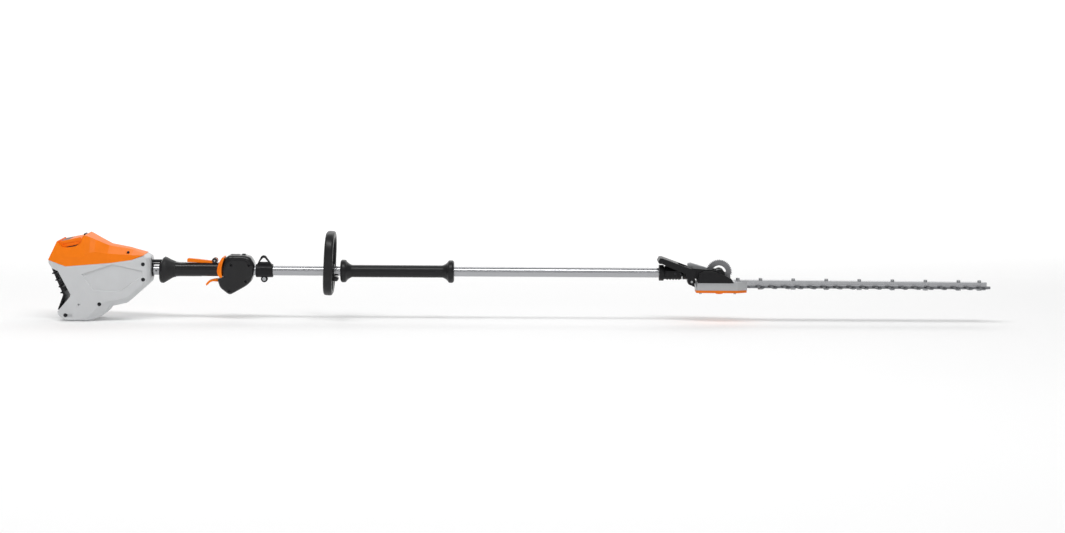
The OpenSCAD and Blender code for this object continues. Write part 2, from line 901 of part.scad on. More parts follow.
module bevel_shaft() {
    color(steel) {
        translate([pivot_x, 0, pivot_z - bevel_drop]) bevel(pinion_teeth, pivot_teeth, 15);
        bar_z([pivot_x, 0], 109, pivot_z - bevel_drop - pivot_teeth / 2, 4);
        translate([pivot_x, 0, 104]) spur(spur_small, 5.2);
    }
}

module crank_gear() {
    color(steel) {
        translate([crank_x, 0, 104]) rotate([0, 0, 180 / spur_large]) spur(spur_large, 4.6);
        bar_z([crank_x, 0], 84, 104, 3);
        bar_z([crank_x + crank_throw - 2, 0], blade_z0 + 0.3, blade_z1 - 0.2, cam_r);
        bar_z([crank_x - crank_throw + 2, 0], blade_z0 - blade_t + 0.1, blade_z0, cam_r);
    }
}

ear_outline = [[pivot_x - 13, case_z1 - 1], [pivot_x - 11, pivot_z + 3], [pivot_x - 6, pivot_z + 10],
    [pivot_x + 6, pivot_z + 10], [pivot_x + 11, pivot_z + 3], [pivot_x + 13, case_z1 - 1]];
module gear_case() {
    color(silver) difference() {
        union() {
            plan_prism([[case_x0, -28], [case_x0 + 4, -case_half], [1782, -case_half], [case_x1, -17],
                [case_x1, 17], [1782, case_half], [case_x0 + 4, case_half], [case_x0, 28]], case_z0, case_z1);
            side_prism(ear_outline, -18.7, -13);
            side_prism(ear_outline, 13, 15.2);
            bar_z([pivot_x, 0], case_z1 - 2, 117, 12);
        }
        // gear room, open below
        plan_prism([[1718, -24], [1786, -24], [1792, -16], [1792, 16], [1786, 24], [1718, 24]], case_z0 - 1, 109.4);
        plan_prism([[1676, -24], [1719, -24], [1719, 24], [1676, 24]], case_z0 - 1, 106);
        // blade and bar openings at the front
        block([1780, -13.6, case_z0 - 1], [case_x1 + 1, 13.6, bar_z0]);
        block([1776, -12.5 - fit, bar_z0 - 1], [case_x1 + 1, 12.5 + fit, 120]);
        bar_z([pivot_x, 0], 100, 130, 4.6);
        bar_z([pivot_x, 0], 110.4, 130, 8 + fit);
        bar_y([pivot_x, pivot_z], -40, 40, bolt_r + fit);
        for (p = case_screw_points) {
            bar_z(p, case_z0 - 1, case_z0 + 12, 2);
        }
    }
}

case_screw_points = [[1682, 27], [1682, -27], [1774, 27], [1774, -27]];

module gear_bearings() {
    color(steel) {
        difference() {
            bar_z([pivot_x, 0], 110.5, 116.9, 8);
            bar_z([pivot_x, 0], 100, 130, 4 + fit);
        }
        difference() {
            bar_z([crank_x, 0], 84.5, 88.9, 8);
            bar_z([crank_x, 0], 80, 100, 3 + fit);
        }
    }
}

cheek_outline = [[1673, case_z1 - 4], [1677, 134], [1690, 140.5], [1712, 140.5], [1740, 133], [1764, 121],
    [1772, case_z1 - 4]];
module gear_case_cover() {
    color(black) difference() {
        union() {
            side_prism(cheek_outline, -36, -27);
            side_prism(cheek_outline, 27, 36);
        }
        block([1650, -case_half - fit, 80], [1800, case_half + fit, case_z1]);
        block([1650, -60, 80], [1800, 60, case_z1 - 3]);
    }
}

module tilt_quadrant() {
    tooth = 360 / 44;
    notched = [for (i = [0 : 23]) for (s = [[-0.5, 0], [-0.28, 0], [-0.2, -2.2], [0.2, -2.2], [0.28, 0]])
        (quadrant_r + s[1]) * [cos((i + s[0]) * tooth - 5), sin((i + s[0]) * tooth - 5)]];
    color(dark) translate([pivot_x, 18.5, pivot_z]) rotate([90, 0, 0]) linear_extrude(3.2) difference() {
        union() {
            polygon(concat([[0, 0]], notched));
            translate([-31, case_z1 - pivot_z]) square([62, 18]);
        }
        difference() {
            circle(19);
            translate([-19, -40]) square([38, 42]);
        }
        circle(bolt_r + fit);
    }
}

module bottom_cover() {
    color(orange) difference() {
        union() {
            plan_prism([[case_x0 + 1, -26], [case_x0 + 5, -30.5], [1782, -30.5], [case_x1 - 1, -15],
                [case_x1 - 1, 15], [1782, 30.5], [case_x0 + 5, 30.5], [case_x0 + 1, 26]], 82, case_z0);
            bar_z([pivot_x, 0], 77, 82.5, 11);
            bar_z([crank_x, 0], cover_z0, 84, 9.5);
        }
        plan_prism([[1720, -22], [1790, -22], [1790, 22], [1720, 22]], 84.5, case_z0 + 1);
        block([1780, -13.6, 84.5], [case_x1 + 1, 13.6, case_z0 + 1]);
        bar_z([crank_x, 0], 83.8, 90, 8 + fit);
        for (p = case_screw_points) {
            bar_z(p, 70, case_z0 + 1, 2);
        }
    }
}

module case_screws() {
    color(steel) for (p = case_screw_points) {
        bar_z(p, 79.5, 82 - fit, 3.8);
        bar_z(p, 82 - fit, case_z0 + 11, 1.9);
    }
}

// ---------- cutter ----------

function bar_top(x) = 115 - 3 * (x - 1784) / (bar_x1 - 1784);

module guide_bar() {
    color(silver) difference() {
        intersection() {
            side_prism([[1776.5, bar_z0], [1776.5, 115], [bar_x1, 112], [bar_x1, bar_z0]], -12.5, 12.5);
            plan_prism([[1770, -12.5], [2440, -12.5], [bar_x1, -8], [bar_x1, 8], [2440, 12.5], [1770, 12.5]],
                90, 130);
        }
        // lengthwise grooves along both sides
        block([case_x1 + 4, -14, 105], [2436, -10.5, 109.5]);
        block([case_x1 + 4, 10.5, 105], [2436, 14, 109.5]);
        for (x = bolt_xs) {
            bar_z([x, 0], 90, 130, 3 + fit);
        }
    }
}

module blade_bolts() {
    color(steel) for (x = bolt_xs) {
        difference() {
            bar_z([x, 0], bar_top(x) + 0.1, bar_top(x) + 5.2, 5);
            bar_z([x, 0], bar_top(x) + 2.8, bar_top(x) + 7, 2.4, $fn = 6);
        }
        bar_z([x, 0], bar_z0, bar_top(x) + 0.2, 3);
        bar_z([x, 0], 93.7, bar_z0, blade_bush_r);
        bar_z([x, 0], 89.7, 93.7, 7);
    }
}

// One side of a blade's outline from rear to tip: side is -1 or 1
function blade_edge(side, shift) = concat(
    [[1812, side * 10], [1814, side * spine_half]],
    [for (i = [0 : tooth_count - 1]) for (t = [[-9, spine_half], [-3.5, tooth_reach], [3.5, tooth_reach],
        [9, spine_half]]) [blade_x0 + shift + i * tooth_pitch + t[0], side * t[1]]],
    [[blade_x1 - 12, side * spine_half], [blade_x1 - 2, side * 7], [blade_x1 + 4, side * 3]]);

// Plan of one blade: spine, teeth on both sides and the driven frame at the rear
module blade_plan(shift) {
    far = blade_edge(1, shift);
    difference() {
        union() {
            translate([1736, -10]) square([78, 20]);
            polygon(concat(blade_edge(-1, shift), [for (i = [len(far) - 1 : -1 : 0]) far[i]]));
            translate([crank_x - 24, -19]) square([48, 38]);
        }
        translate([crank_x - 20, -12.5]) square([40, 25]);
        for (x = bolt_xs) {
            translate([x - blade_stroke, -blade_bush_r - 0.2]) square([2 * blade_stroke, 2 * blade_bush_r + 0.4]);
            for (s = [-1, 1]) {
                translate([x + s * blade_stroke, 0]) circle(blade_bush_r + 0.2, $fn = 24);
            }
        }
    }
}

module upper_blade() {
    color(steel) translate([0, 0, blade_z0 + 0.2]) linear_extrude(blade_t) blade_plan(0);
}

module lower_blade() {
    color(steel) translate([0, 0, blade_z0 - blade_t]) linear_extrude(blade_t) blade_plan(tooth_pitch / 4);
}

housing_right();
housing_left();
top_cover();
rest_pad();
housing_screws();
battery_tray();
terminal_block();
intake_grille();
motor_can();
motor_stator();
motor_flange();
motor_bearings();
motor_controller();
pole_socket();
control_cables();
pole_tube();
shaft_bushes();
handle_right();
handle_left();
handle_screws();
trigger_switch();
display_panel();
grip_sleeve();
clamp_collar();
joint_housing();
joint_screws();
pivot_fork();
pivot_bolt();
lever_pin();
latch_pin();
battery_case();
battery_cap();
battery_display();
battery_latch();
motor_rotor();
motor_fan();
drive_shaft();
trigger();
lockout_lever();
unlock_slider();
power_button();
carrying_ring();
ring_screw();
loop_handle();
loop_screws();
lock_lever();
lock_pin();
pivot_gear();
bevel_shaft();
crank_gear();
gear_case();
gear_case_cover();
gear_bearings();
bottom_cover();
case_screws();
tilt_quadrant();
guide_bar();
blade_bolts();
upper_blade();
lower_blade();
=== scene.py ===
"""Looks of a battery pole hedge trimmer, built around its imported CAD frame.

Lengths are millimetres in the frame's own axes until a mesh is made, which turns them into metres.
+X runs along the pole to the blade tip and +Z is up."""
import json
import math

import bmesh
import bpy
from mathutils import Matrix, Vector


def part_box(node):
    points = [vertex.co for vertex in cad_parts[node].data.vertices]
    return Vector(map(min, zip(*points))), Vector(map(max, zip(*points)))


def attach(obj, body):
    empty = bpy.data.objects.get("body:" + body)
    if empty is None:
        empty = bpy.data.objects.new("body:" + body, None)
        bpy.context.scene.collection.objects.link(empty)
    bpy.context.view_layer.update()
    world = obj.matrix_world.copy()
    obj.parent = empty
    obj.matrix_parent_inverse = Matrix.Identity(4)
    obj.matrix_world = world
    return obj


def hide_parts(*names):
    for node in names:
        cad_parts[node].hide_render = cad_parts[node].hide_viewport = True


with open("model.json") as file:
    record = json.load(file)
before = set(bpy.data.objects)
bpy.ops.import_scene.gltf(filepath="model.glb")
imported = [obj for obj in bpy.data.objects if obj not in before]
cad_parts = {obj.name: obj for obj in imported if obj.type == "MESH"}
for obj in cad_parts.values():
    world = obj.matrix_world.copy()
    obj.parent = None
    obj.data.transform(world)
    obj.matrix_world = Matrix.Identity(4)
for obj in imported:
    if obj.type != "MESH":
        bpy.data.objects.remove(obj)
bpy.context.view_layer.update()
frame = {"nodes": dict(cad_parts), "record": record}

MM = 0.001
ROOT = "power_head_and_pole"


def mm_box(node):
    """Lowest and highest corner of a CAD node, in millimetres."""
    low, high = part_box(node)
    return low / MM, high / MM


TUBE_LOW, TUBE_HIGH = mm_box("pole_tube")
AXIS_Z = (TUBE_LOW.z + TUBE_HIGH.z) / 2
TUBE_R = (TUBE_HIGH.z - TUBE_LOW.z) / 2
TUBE_WALL = 1.8
BORE_R = TUBE_R + 0.05  # bore of everything that sits on the tube
SHAFT_WAY_R = 8
PIVOT_X = mm_box("pivot_bolt")[0].x / 2 + mm_box("pivot_bolt")[1].x / 2
HEAD_HALF = mm_box("housing_left")[1].y
BATTERY_LEAN = math.radians(11.6)
SPLIT_GAP = 0.15  # half of the parting line between the two halves of a casing


# ---------- materials ----------


def shader(name):
    """An empty procedural material and the few nodes that all of them share."""
    mat = bpy.data.materials.new(name)
    mat.use_nodes = True
    tree = mat.node_tree
    surface = tree.nodes["Principled BSDF"]
    coords = tree.nodes.new("ShaderNodeTexCoord")
    return mat, tree, surface, coords


def noise(tree, coords, scale, detail=3.0, stretch=(1, 1, 1)):
    """Noise of so many waves to the metre, stretched along the object's axes."""
    mapping = tree.nodes.new("ShaderNodeMapping")
    mapping.inputs["Scale"].default_value = [scale * s for s in stretch]
    tree.links.new(coords.outputs["Object"], mapping.inputs["Vector"])
    node = tree.nodes.new("ShaderNodeTexNoise")
    node.inputs["Scale"].default_value = 1.0
    node.inputs["Detail"].default_value = detail
    tree.links.new(mapping.outputs["Vector"], node.inputs["Vector"])
    return node.outputs["Fac"]


def spread(tree, value, low, high):
    """Maps noise around its middle onto low..high."""
    node = tree.nodes.new("ShaderNodeMapRange")
    node.inputs["From Min"].default_value = 0.3
    node.inputs["From Max"].default_value = 0.7
    node.inputs["To Min"].default_value = low
    node.inputs["To Max"].default_value = high
    tree.links.new(value, node.inputs["Value"])
    return node.outputs["Result"]


def tinted(tree, factor, colour, amount):
    """The colour, darker and lighter by amount as the factor goes from 0 to 1."""
    node = tree.nodes.new("ShaderNodeMix")
    node.data_type = "RGBA"
    node.inputs["A"].default_value = [c * (1 - amount) for c in colour] + [1]
    node.inputs["B"].default_value = [min(1, c * (1 + amount)) for c in colour] + [1]
    tree.links.new(factor, node.inputs["Factor"])
    return node.outputs["Result"]


def bumped(tree, surface, height, strength, distance):
    """Raises the surface by the height, at most by the distance in millimetres."""
    node = tree.nodes.new("ShaderNodeBump")
    node.inputs["Strength"].default_value = strength
    node.inputs["Distance"].default_value = distance * MM
    tree.links.new(height, node.inputs["Height"])
    tree.links.new(node.outputs["Normal"], surface.inputs["Normal"])


def plastic(name, colour, rough, grain=900, depth=0.06, coat=0.0, mottle=0.05, shine=0.35):
    """Moulded plastic with a fine spark-eroded grain."""
    mat, tree, surface, coords = shader(name)
    broad = spread(tree, noise(tree, coords, 30), 0, 1)
    tree.links.new(tinted(tree, broad, colour, mottle), surface.inputs["Base Color"])
    fine = noise(tree, coords, grain, 2.0)
    tree.links.new(spread(tree, fine, rough - 0.05, rough + 0.07), surface.inputs["Roughness"])
    surface.inputs["Specular IOR Level"].default_value = shine
    surface.inputs["Coat Weight"].default_value = coat
    surface.inputs["Coat Roughness"].default_value = 0.25
    bumped(tree, surface, fine, 0.35, depth)
    return mat


def metal(name, colour, rough, streak=(1, 25, 25), scale=60, depth=0.02, metallic=1.0, mottle=0.08):
    """Brushed, drawn or cast metal: the stretch sets the way of its marks."""
    mat, tree, surface, coords = shader(name)
    marks = noise(tree, coords, scale, 5.0, streak)
    tree.links.new(tinted(tree, spread(tree, marks, 0, 1), colour, mottle), surface.inputs["Base Color"])
    tree.links.new(spread(tree, marks, rough - mottle / 2, rough + mottle), surface.inputs["Roughness"])
    surface.inputs["Metallic"].default_value = metallic
    bumped(tree, surface, marks, 0.3, depth)
    return mat


def pebbled(name, colour, rough, cells=420, depth=0.35):
    """Soft plastic with a pebbled or leathery surface."""
    mat, tree, surface, coords = shader(name)
    cell = tree.nodes.new("ShaderNodeTexVoronoi")
    cell.inputs["Scale"].default_value = cells
    tree.links.new(coords.outputs["Object"], cell.inputs["Vector"])
    broad = spread(tree, noise(tree, coords, 45), 0, 1)
    tree.links.new(tinted(tree, broad, colour, 0.12), surface.inputs["Base Color"])
    tree.links.new(spread(tree, noise(tree, coords, 200), rough - 0.06, rough + 0.08),
                   surface.inputs["Roughness"])
    surface.inputs["Specular IOR Level"].default_value = 0.3
    bumped(tree, surface, cell.outputs["Distance"], 0.5, depth)
    return mat


ORANGE = plastic("moulded_orange", (0.93, 0.205, 0.004), 0.42, shine=0.16, mottle=0.03)
COVER_ORANGE = plastic("cast_orange", (0.80, 0.17, 0.006), 0.42, grain=500, shine=0.25)
SHELL = plastic("shell_grey", (0.58, 0.59, 0.60), 0.40, depth=0.04, mottle=0.02)
BLACK = plastic("black_plastic", (0.011, 0.011, 0.012), 0.36, depth=0.08, mottle=0.12, shine=0.18)
GLOSSY = plastic("glossy_black", (0.008, 0.008, 0.009), 0.20, coat=0.3, mottle=0.12, shine=0.2)
RUBBER = pebbled("black_rubber", (0.014, 0.014, 0.015), 0.48)
SLEEVE_RUBBER = pebbled("sleeve_rubber", (0.008, 0.008, 0.009), 0.34, cells=700, depth=0.10)
DARK = plastic("dark_plastic", (0.018, 0.019, 0.021), 0.42, mottle=0.1, shine=0.3)
STEEL = metal("bright_steel", (0.42, 0.43, 0.44), 0.30)
DARK_STEEL = metal("dark_steel", (0.035, 0.035, 0.04), 0.45, metallic=0.7)
QUADRANT = metal("quadrant_steel", (0.24, 0.24, 0.25), 0.40, streak=(12, 12, 12))
BLADE = metal("blade_steel", (0.24, 0.245, 0.26), 0.34, streak=(1, 30, 30))
ALUMINIUM = metal("drawn_aluminium", (0.42, 0.425, 0.44), 0.25, streak=(0.4, 12, 12), depth=0.001,
                  mottle=0.025)
CAST = metal("cast_aluminium", (0.46, 0.47, 0.48), 0.40, streak=(10, 10, 10), scale=90, depth=0.05,
             metallic=0.8)
COPPER = metal("copper_winding", (0.60, 0.25, 0.10), 0.35, streak=(30, 2, 2))
BOARD = plastic("circuit_board", (0.01, 0.10, 0.04), 0.4)
BUSH = plastic("bush_plastic", (0.62, 0.52, 0.36), 0.5)


def display_material():
    """Dark window with the faint mesh of a printed panel behind it."""
    mat, tree, surface, coords = shader("display_window")
    checks = tree.nodes.new("ShaderNodeTexChecker")
    checks.inputs["Scale"].default_value = 260
    checks.inputs["Color1"].default_value = (0.03, 0.03, 0.034, 1)
    checks.inputs["Color2"].default_value = (0.06, 0.06, 0.065, 1)
    tree.links.new(coords.outputs["Object"], checks.inputs["Vector"])
    tree.links.new(checks.outputs["Color"], surface.inputs["Base Color"])
    tree.links.new(spread(tree, noise(tree, coords, 300), 0.32, 0.42), surface.inputs["Roughness"])
    surface.inputs["IOR"].default_value = 1.15
    return mat


DISPLAY = display_material()

SLOT_MATERIALS = {
    "orange_plastic": ORANGE, "grey_plastic": SHELL, "black_plastic": BLACK, "black_rubber": RUBBER,
    "dark_plastic": DARK, "steel": STEEL, "dark_steel": DARK_STEEL, "quadrant_steel": QUADRANT,
    "blade_steel": BLADE, "aluminium": ALUMINIUM, "cast_aluminium": CAST, "copper": COPPER,
    "circuit_board": BOARD, "bush_plastic": BUSH, "display": DISPLAY,
}
for part in frame["record"]["subparts"]:
    for material_slot in frame["nodes"][part["node"]].material_slots:
        material_slot.material = SLOT_MATERIALS[part["material_slot"]]


# ---------- shapes ----------


def raw_object(name, points, faces):
    """A mesh object from points in millimetres, with its doubled points merged and its faces turned out."""
    mesh = bpy.data.meshes.new(name)
    mesh.from_pydata([Vector(p) * MM for p in points], [], faces)
    bm = bmesh.new()
    bm.from_mesh(mesh)
    bmesh.ops.remove_doubles(bm, verts=bm.verts, dist=1e-7)
    bmesh.ops.recalc_face_normals(bm, faces=bm.faces)
    bm.to_mesh(mesh)
    bm.free()
    obj = bpy.data.objects.new(name, mesh)
    bpy.context.scene.collection.objects.link(obj)
    return obj


def loft(name, rings):
    """Closed skin through rings of equal point counts, with a flat cap at each end."""
    n = len(rings[0])
    points = [p for ring in rings for p in ring]
    faces = [(k * n + i, k * n + (i + 1) % n, (k + 1) * n + (i + 1) % n, (k + 1) * n + i)
             for k in range(len(rings) - 1) for i in range(n)]
    faces.append(tuple(range(n)))
    faces.append(tuple((len(rings) - 1) * n + i for i in range(n)))
    return raw_object(name, points, faces)


def side_prism(name, outline, y0, y1):
    """An [x, z] outline between two planes across the object."""
    return loft(name, [at_y(outline, y) for y in (y0, y1)])


def plan_prism(name, outline, z0, z1):
    """An [x, y] outline between two heights."""
    return loft(name, [[(x, y, z) for x, y in outline] for z in (z0, z1)])


def block(name, low, high):
    return plan_prism(name, [(low[0], low[1]), (high[0], low[1]), (high[0], high[1]), (low[0], high[1])],
                      low[2], high[2])


def circle(radius, count):
    return [(radius * math.cos(2 * math.pi * i / count), radius * math.sin(2 * math.pi * i / count))
            for i in range(count)]


def lathe_x(name, profile, bore=0.0, centre_z=AXIS_Z, count=96):
    """Turns (x, radius) points about a line along X; a bore makes it a sleeve."""
    profile = [(profile[0][0], bore)] + profile + [(profile[-1][0], bore)]
    n = len(profile)
    points = [(x, r * c, centre_z + r * s) for c, s in circle(1, count) for x, r in profile]
    steps = range(n) if bore else range(n - 1)
    faces = [(j * n + i, j * n + (i + 1) % n, ((j + 1) % count) * n + (i + 1) % n, ((j + 1) % count) * n + i)
             for j in range(count) for i in steps]
    return raw_object(name, points, faces)


def rod_y(name, centre, y0, y1, radius, count=40):
    """Round bar across the object at centre = (x, z)."""
    return loft(name, [[(centre[0] + a, y, centre[1] + b) for a, b in circle(radius, count)]
                       for y in (y0, y1)])


def rod_z(name, centre, z0, z1, radius, count=40):
    """Upright round bar at centre = (x, y)."""
    return loft(name, [[(centre[0] + a, centre[1] + b, z) for a, b in circle(radius, count)]
                       for z in (z0, z1)])


def evaluated(obj):
    """Puts the object's modifiers into its mesh."""
    bpy.context.view_layer.update()
    graph = bpy.context.evaluated_depsgraph_get()
    mesh = bpy.data.meshes.new_from_object(obj.evaluated_get(graph))
    old = obj.data
    obj.modifiers.clear()
    obj.data = mesh
    bpy.data.meshes.remove(old)
    return obj


def combine(obj, others, operation):
    """Cuts the others out of obj, or joins them to it, and removes them."""
    for other in others:
        step = obj.modifiers.new("combine", "BOOLEAN")
        step.operation = operation
        step.solver = "EXACT"
        step.object = other
        evaluated(obj)
        bpy.data.objects.remove(other)
    return obj


def through(name, centre, radius):
    """Cutter for a hole right across the object at centre = (x, z)."""
    return rod_y(name, centre, -40, 40, radius)


def carve(obj, *cutters):
    return combine(obj, cutters, "DIFFERENCE")


def join(obj, *others):
    return combine(obj, others, "UNION")


def rounded(obj, radius, segments=3, angle=28):
    """Rounds the edges that turn by more than the angle, so that they catch the light."""
    bm = bmesh.new()
    bm.from_mesh(obj.data)
    bmesh.ops.dissolve_limit(bm, angle_limit=math.radians(0.5), verts=bm.verts, edges=bm.edges)
    bm.to_mesh(obj.data)
    bm.free()
    step = obj.modifiers.new("round", "BEVEL")
    step.width = radius * MM
    step.segments = segments
    step.limit_method = "ANGLE"
    step.angle_limit = math.radians(angle)
    step.use_clamp_overlap = True
    step.miter_outer = "MITER_ARC"
    return evaluated(obj)


def smooth(obj, angle=35):
    """Smooth shading up to the angle, with the larger faces kept flat beside their rounded edges."""
    for face in obj.data.polygons:
        face.use_smooth = True
    obj.data.set_sharp_from_angle(angle=math.radians(angle))
    step = obj.modifiers.new("weighted", "WEIGHTED_NORMAL")
    step.mode = "FACE_AREA"
    step.keep_sharp = True


def piece(obj, material, body, slot, *nodes, angle=35):
    """Gives a finished shape its material and its place in the frame."""
    obj.data.materials.clear()
    obj.data.materials.append(material)
    smooth(obj, angle)
    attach(obj, body)
    if nodes:
        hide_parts(*nodes)
    return obj


def keep_side(obj, side):
    """Keeps one half of a casing: side is -1 for the right, 1 for the left."""
    bm = bmesh.new()
    bm.from_mesh(obj.data)
    bmesh.ops.bisect_plane(bm, geom=bm.verts[:] + bm.edges[:] + bm.faces[:],
                           plane_co=(0, side * SPLIT_GAP * MM, 0), plane_no=(0, -side, 0), clear_outer=True)
    bmesh.ops.holes_fill(bm, edges=[e for e in bm.edges if e.is_boundary], sides=0)
    bmesh.ops.recalc_face_normals(bm, faces=bm.faces)
    bm.to_mesh(obj.data)
    bm.free()
    return obj


def mix_points(a, b, k):
    return (a[0] + (b[0] - a[0]) * k, a[1] + (b[1] - a[1]) * k)


def mix_outlines(a, b, k):
    return [mix_points(p, q, k) for p, q in zip(a, b)]


def drawn_in(outline, centre, k):
    """The outline at k of its size about its centre."""
    return [(centre[0] + (x - centre[0]) * k, centre[1] + (z - centre[1]) * k) for x, z in outline]


def softened(outline, reach, steps=5):
    """Outline with each corner replaced by a curve that starts reach of the way along its two sides."""
    result = []
    n = len(outline)
    for i, corner in enumerate(outline):
        start = mix_points(corner, outline[i - 1], reach)
        end = mix_points(corner, outline[(i + 1) % n], reach)
        for k in range(steps + 1):
            t = k / steps
            result.append(mix_points(mix_points(start, corner, t), mix_points(corner, end, t), t))
    return result


def squared(value, power):
    """Part of a unit circle's sine or cosine, moved out to make the circle squarer."""
    return math.copysign(abs(value) ** power, value)


def at_y(outline, y):
    """The [x, z] outline as a ring of points at y."""
    return [(x, y, z) for x, z in outline]


def interpolate(table, x):
    """Value at x on a line through sorted (x, value) points."""
    if x <= table[0][0]:
        return table[0][1]
    for (xa, va), (xb, vb) in zip(table, table[1:]):
        if x <= xb:
            return va + (vb - va) * (x - xa) / (xb - xa)
    return table[-1][1]


# ---------- power head ----------

# [x, z] outlines of the head: its silhouette, and its flat side within the bevel
HEAD_OUTLINE = [(-61, 165), (-61, 158), (-51, 143), (-34, 135), (0, 70), (-37, 27), (-38, 16), (-24, 5),
                (-12, 0), (42, 0), (60, 5), (78, 13), (88, 22), (98, 36), (109, 41), (146, 49), (192, 89),
                (206, 103), (208, 113), (208, 158), (205, 170), (192, 177), (161, 165), (109, 158),
                (-14, 148)]
HEAD_CREASE = [(-60, 164), (-60, 157), (-51, 143), (-34, 135), (0, 70), (-37, 27), (-34, 18), (-21, 9),
               (-9, 5), (32, 7), (40, 12), (46, 17), (58, 30), (70, 41), (86, 52), (148, 65), (186, 98),
               (196, 108), (199, 114), (199, 156), (197, 167), (190, 175), (161, 165), (109, 158),
               (-14, 148)]
# Share of the way from the silhouette to the flat side, and the half width there
HEAD_BEVEL = [(0, 50), (0.10, 53.5), (0.45, 60), (0.85, 65), (1, HEAD_HALF)]
# Half width of the head at x
HEAD_WIDTH = [(-70, HEAD_HALF - 8), (-30, HEAD_HALF), (100, HEAD_HALF), (209, HEAD_HALF - 20)]
BATTERY_ROOM = [(-51, 160), (-45, 149), (-22, 134), (8, 78), (60, 78), (60, 190), (-51, 190)]
REAR_NOTCH = [(-58, 143), (-36, 133), (-2, 70), (-36, 30), (-64, 30)]
SIDE_PANEL = [(28, 127), (111, 155), (189, 135), (189, 122), (131, 80), (59, 84), (48, 98)]
PANEL_CENTRE = (115, 115)
PANEL_DEPTH = 3.2
SHELL_SCREWS = [(190, 153), (190, 112), (75, 47), (-16, 17)]
SCREW_RECESS = 6
SCREW_WELL_R = 5.4
SCREW_SEAT_R = 3.7
WELL_SIDES = 12


def half_width(x):
    return interpolate(HEAD_WIDTH, x)


def follow_plan(obj):
    """Draws a shape built at full width in to the head's plan, which narrows to the front and the rear."""
    bm = bmesh.new()
    bm.from_mesh(obj.data)
    for x, _ in HEAD_WIDTH[1:-1]:
        bmesh.ops.bisect_plane(bm, geom=bm.verts[:] + bm.edges[:] + bm.faces[:], plane_co=(x * MM, 0, 0),
                               plane_no=(1, 0, 0))
    for vert in bm.verts:
        vert.co.y *= half_width(vert.co.x / MM) / HEAD_HALF
    bmesh.ops.recalc_face_normals(bm, faces=bm.faces)
    bm.to_mesh(obj.data)
    bm.free()
    return obj


def head_block():
    """Both halves of the shell as one block with its lower bevel and rounded sides."""
    rings = [at_y(mix_outlines(HEAD_OUTLINE, HEAD_CREASE, k), -y) for k, y in reversed(HEAD_BEVEL)]
    rings += [at_y(mix_outlines(HEAD_OUTLINE, HEAD_CREASE, k), y) for k, y in HEAD_BEVEL]
    return follow_plan(loft("head_block", rings))


def side_recesses():
    """Cutters for the screw wells of the near side and for the sunk panel on both sides."""
    cutters = [rod_y("recess", (x, z), -HEAD_HALF - 20, SCREW_RECESS - half_width(x), SCREW_WELL_R,
                     WELL_SIDES)
               for x, z in SHELL_SCREWS]
    draft = ((HEAD_HALF - PANEL_DEPTH, 0.965), (HEAD_HALF + 0.4, 1.01), (HEAD_HALF + 8, 1.01))
    for s in (-1, 1):
        panel = [at_y(drawn_in(SIDE_PANEL, PANEL_CENTRE, k), s * y) for y, k in draft]
        cutters.append(follow_plan(loft("panel", panel)))
    return cutters


def shell_half(name, side):
    """One half of the shell: side is -1 for the right, 1 for the left."""
    shell = head_block()
    carve(shell, side_prism("room", BATTERY_ROOM, -54.5, 54.5), side_prism("notch", REAR_NOTCH, -56, 56),
          *side_recesses(),
          rod_y("side_mark", (20, 46), -HEAD_HALF - 5, 5 - HEAD_HALF, 2.6, 16),
          block("foot_slot", (-14, -HEAD_HALF - 10, 13), (2, 3 - HEAD_HALF, 20)),
          block("cable_gate", (190, -14, 142), (215, 2, 166)),
          lathe_x("pole_gate", [(190, 17.1), (216, 17.1)]),
          *[block("louvre", (x, -30, 36), (x + 3.5, 30, 56)) for x in range(112, 141, 7)])
    keep_side(shell, side)
    shell.name = name
    return piece(rounded(shell, 0.9, angle=20), SHELL, ROOT, "grey_plastic",
                 "housing_right" if side < 0 else "housing_left")


shell_half("shell_right", -1)
shell_half("shell_left", 1)


def screw_recess_shade(x, z):
    """Black cup inside the recess of a shell screw: painted shade that darkens the recess."""
    face_y = -half_width(x)
    well = rod_y("screw_recess_shade", (x, z), face_y + 1.6, face_y + SCREW_RECESS, SCREW_WELL_R - 0.05, WELL_SIDES)
    carve(well, rod_y("screw_seat", (x, z), face_y, face_y + 8, SCREW_SEAT_R))
    return piece(well, BLACK, ROOT, "black_plastic")


# Painted shade: a black cup darkens the recess of each shell screw
for screw_point in SHELL_SCREWS:
    screw_recess_shade(*screw_point)

# Stations of the cover from rear to front: x, crease height, half width of the ridge, top height
COVER_STATIONS = [(-61, 165.4, 58, 166), (-49, 172, 60, 190), (-37, 174, 59.5, 215), (-14, 174, 58.5, 219),
                  (29, 174, 58, 225), (36, 176, 56, 231), (50, 185, 47, 225), (64, 187, 41, 218),
                  (98, 183, 28, 202), (109, 182, 26.5, 200), (151, 179, 21.5, 192.5), (161, 178, 19.5, 189.5),
                  (191.5, 176.9, 14, 177.4)]
SPLIT_LINE = [(-61, 165), (-14, 148), (109, 158), (161, 165), (192, 177)]
COVER_SCALLOP = [(-40, 262), (-33, 209), (-24, 199.5), (-10, 198), (11, 201), (27, 210), (31, 224),
                 (31, 262)]
COVER_SCREW = (150, 184.5)
BATTERY_TOP = (-3.5, 219.5)  # middle of the battery's top


def battery_point(u, v):
    """[x, z] of a point u forward of and v above the middle of the battery's top, along its lean."""
    return (BATTERY_TOP[0] + u * math.cos(BATTERY_LEAN) - v * math.sin(BATTERY_LEAN),
            BATTERY_TOP[1] + u * math.sin(BATTERY_LEAN) + v * math.cos(BATTERY_LEAN))


def battery_prism(name, outline, y0, y1):
    """A side outline given in the leaning battery's own u and v."""
    return side_prism(name, [battery_point(u, v) for u, v in outline], y0, y1)


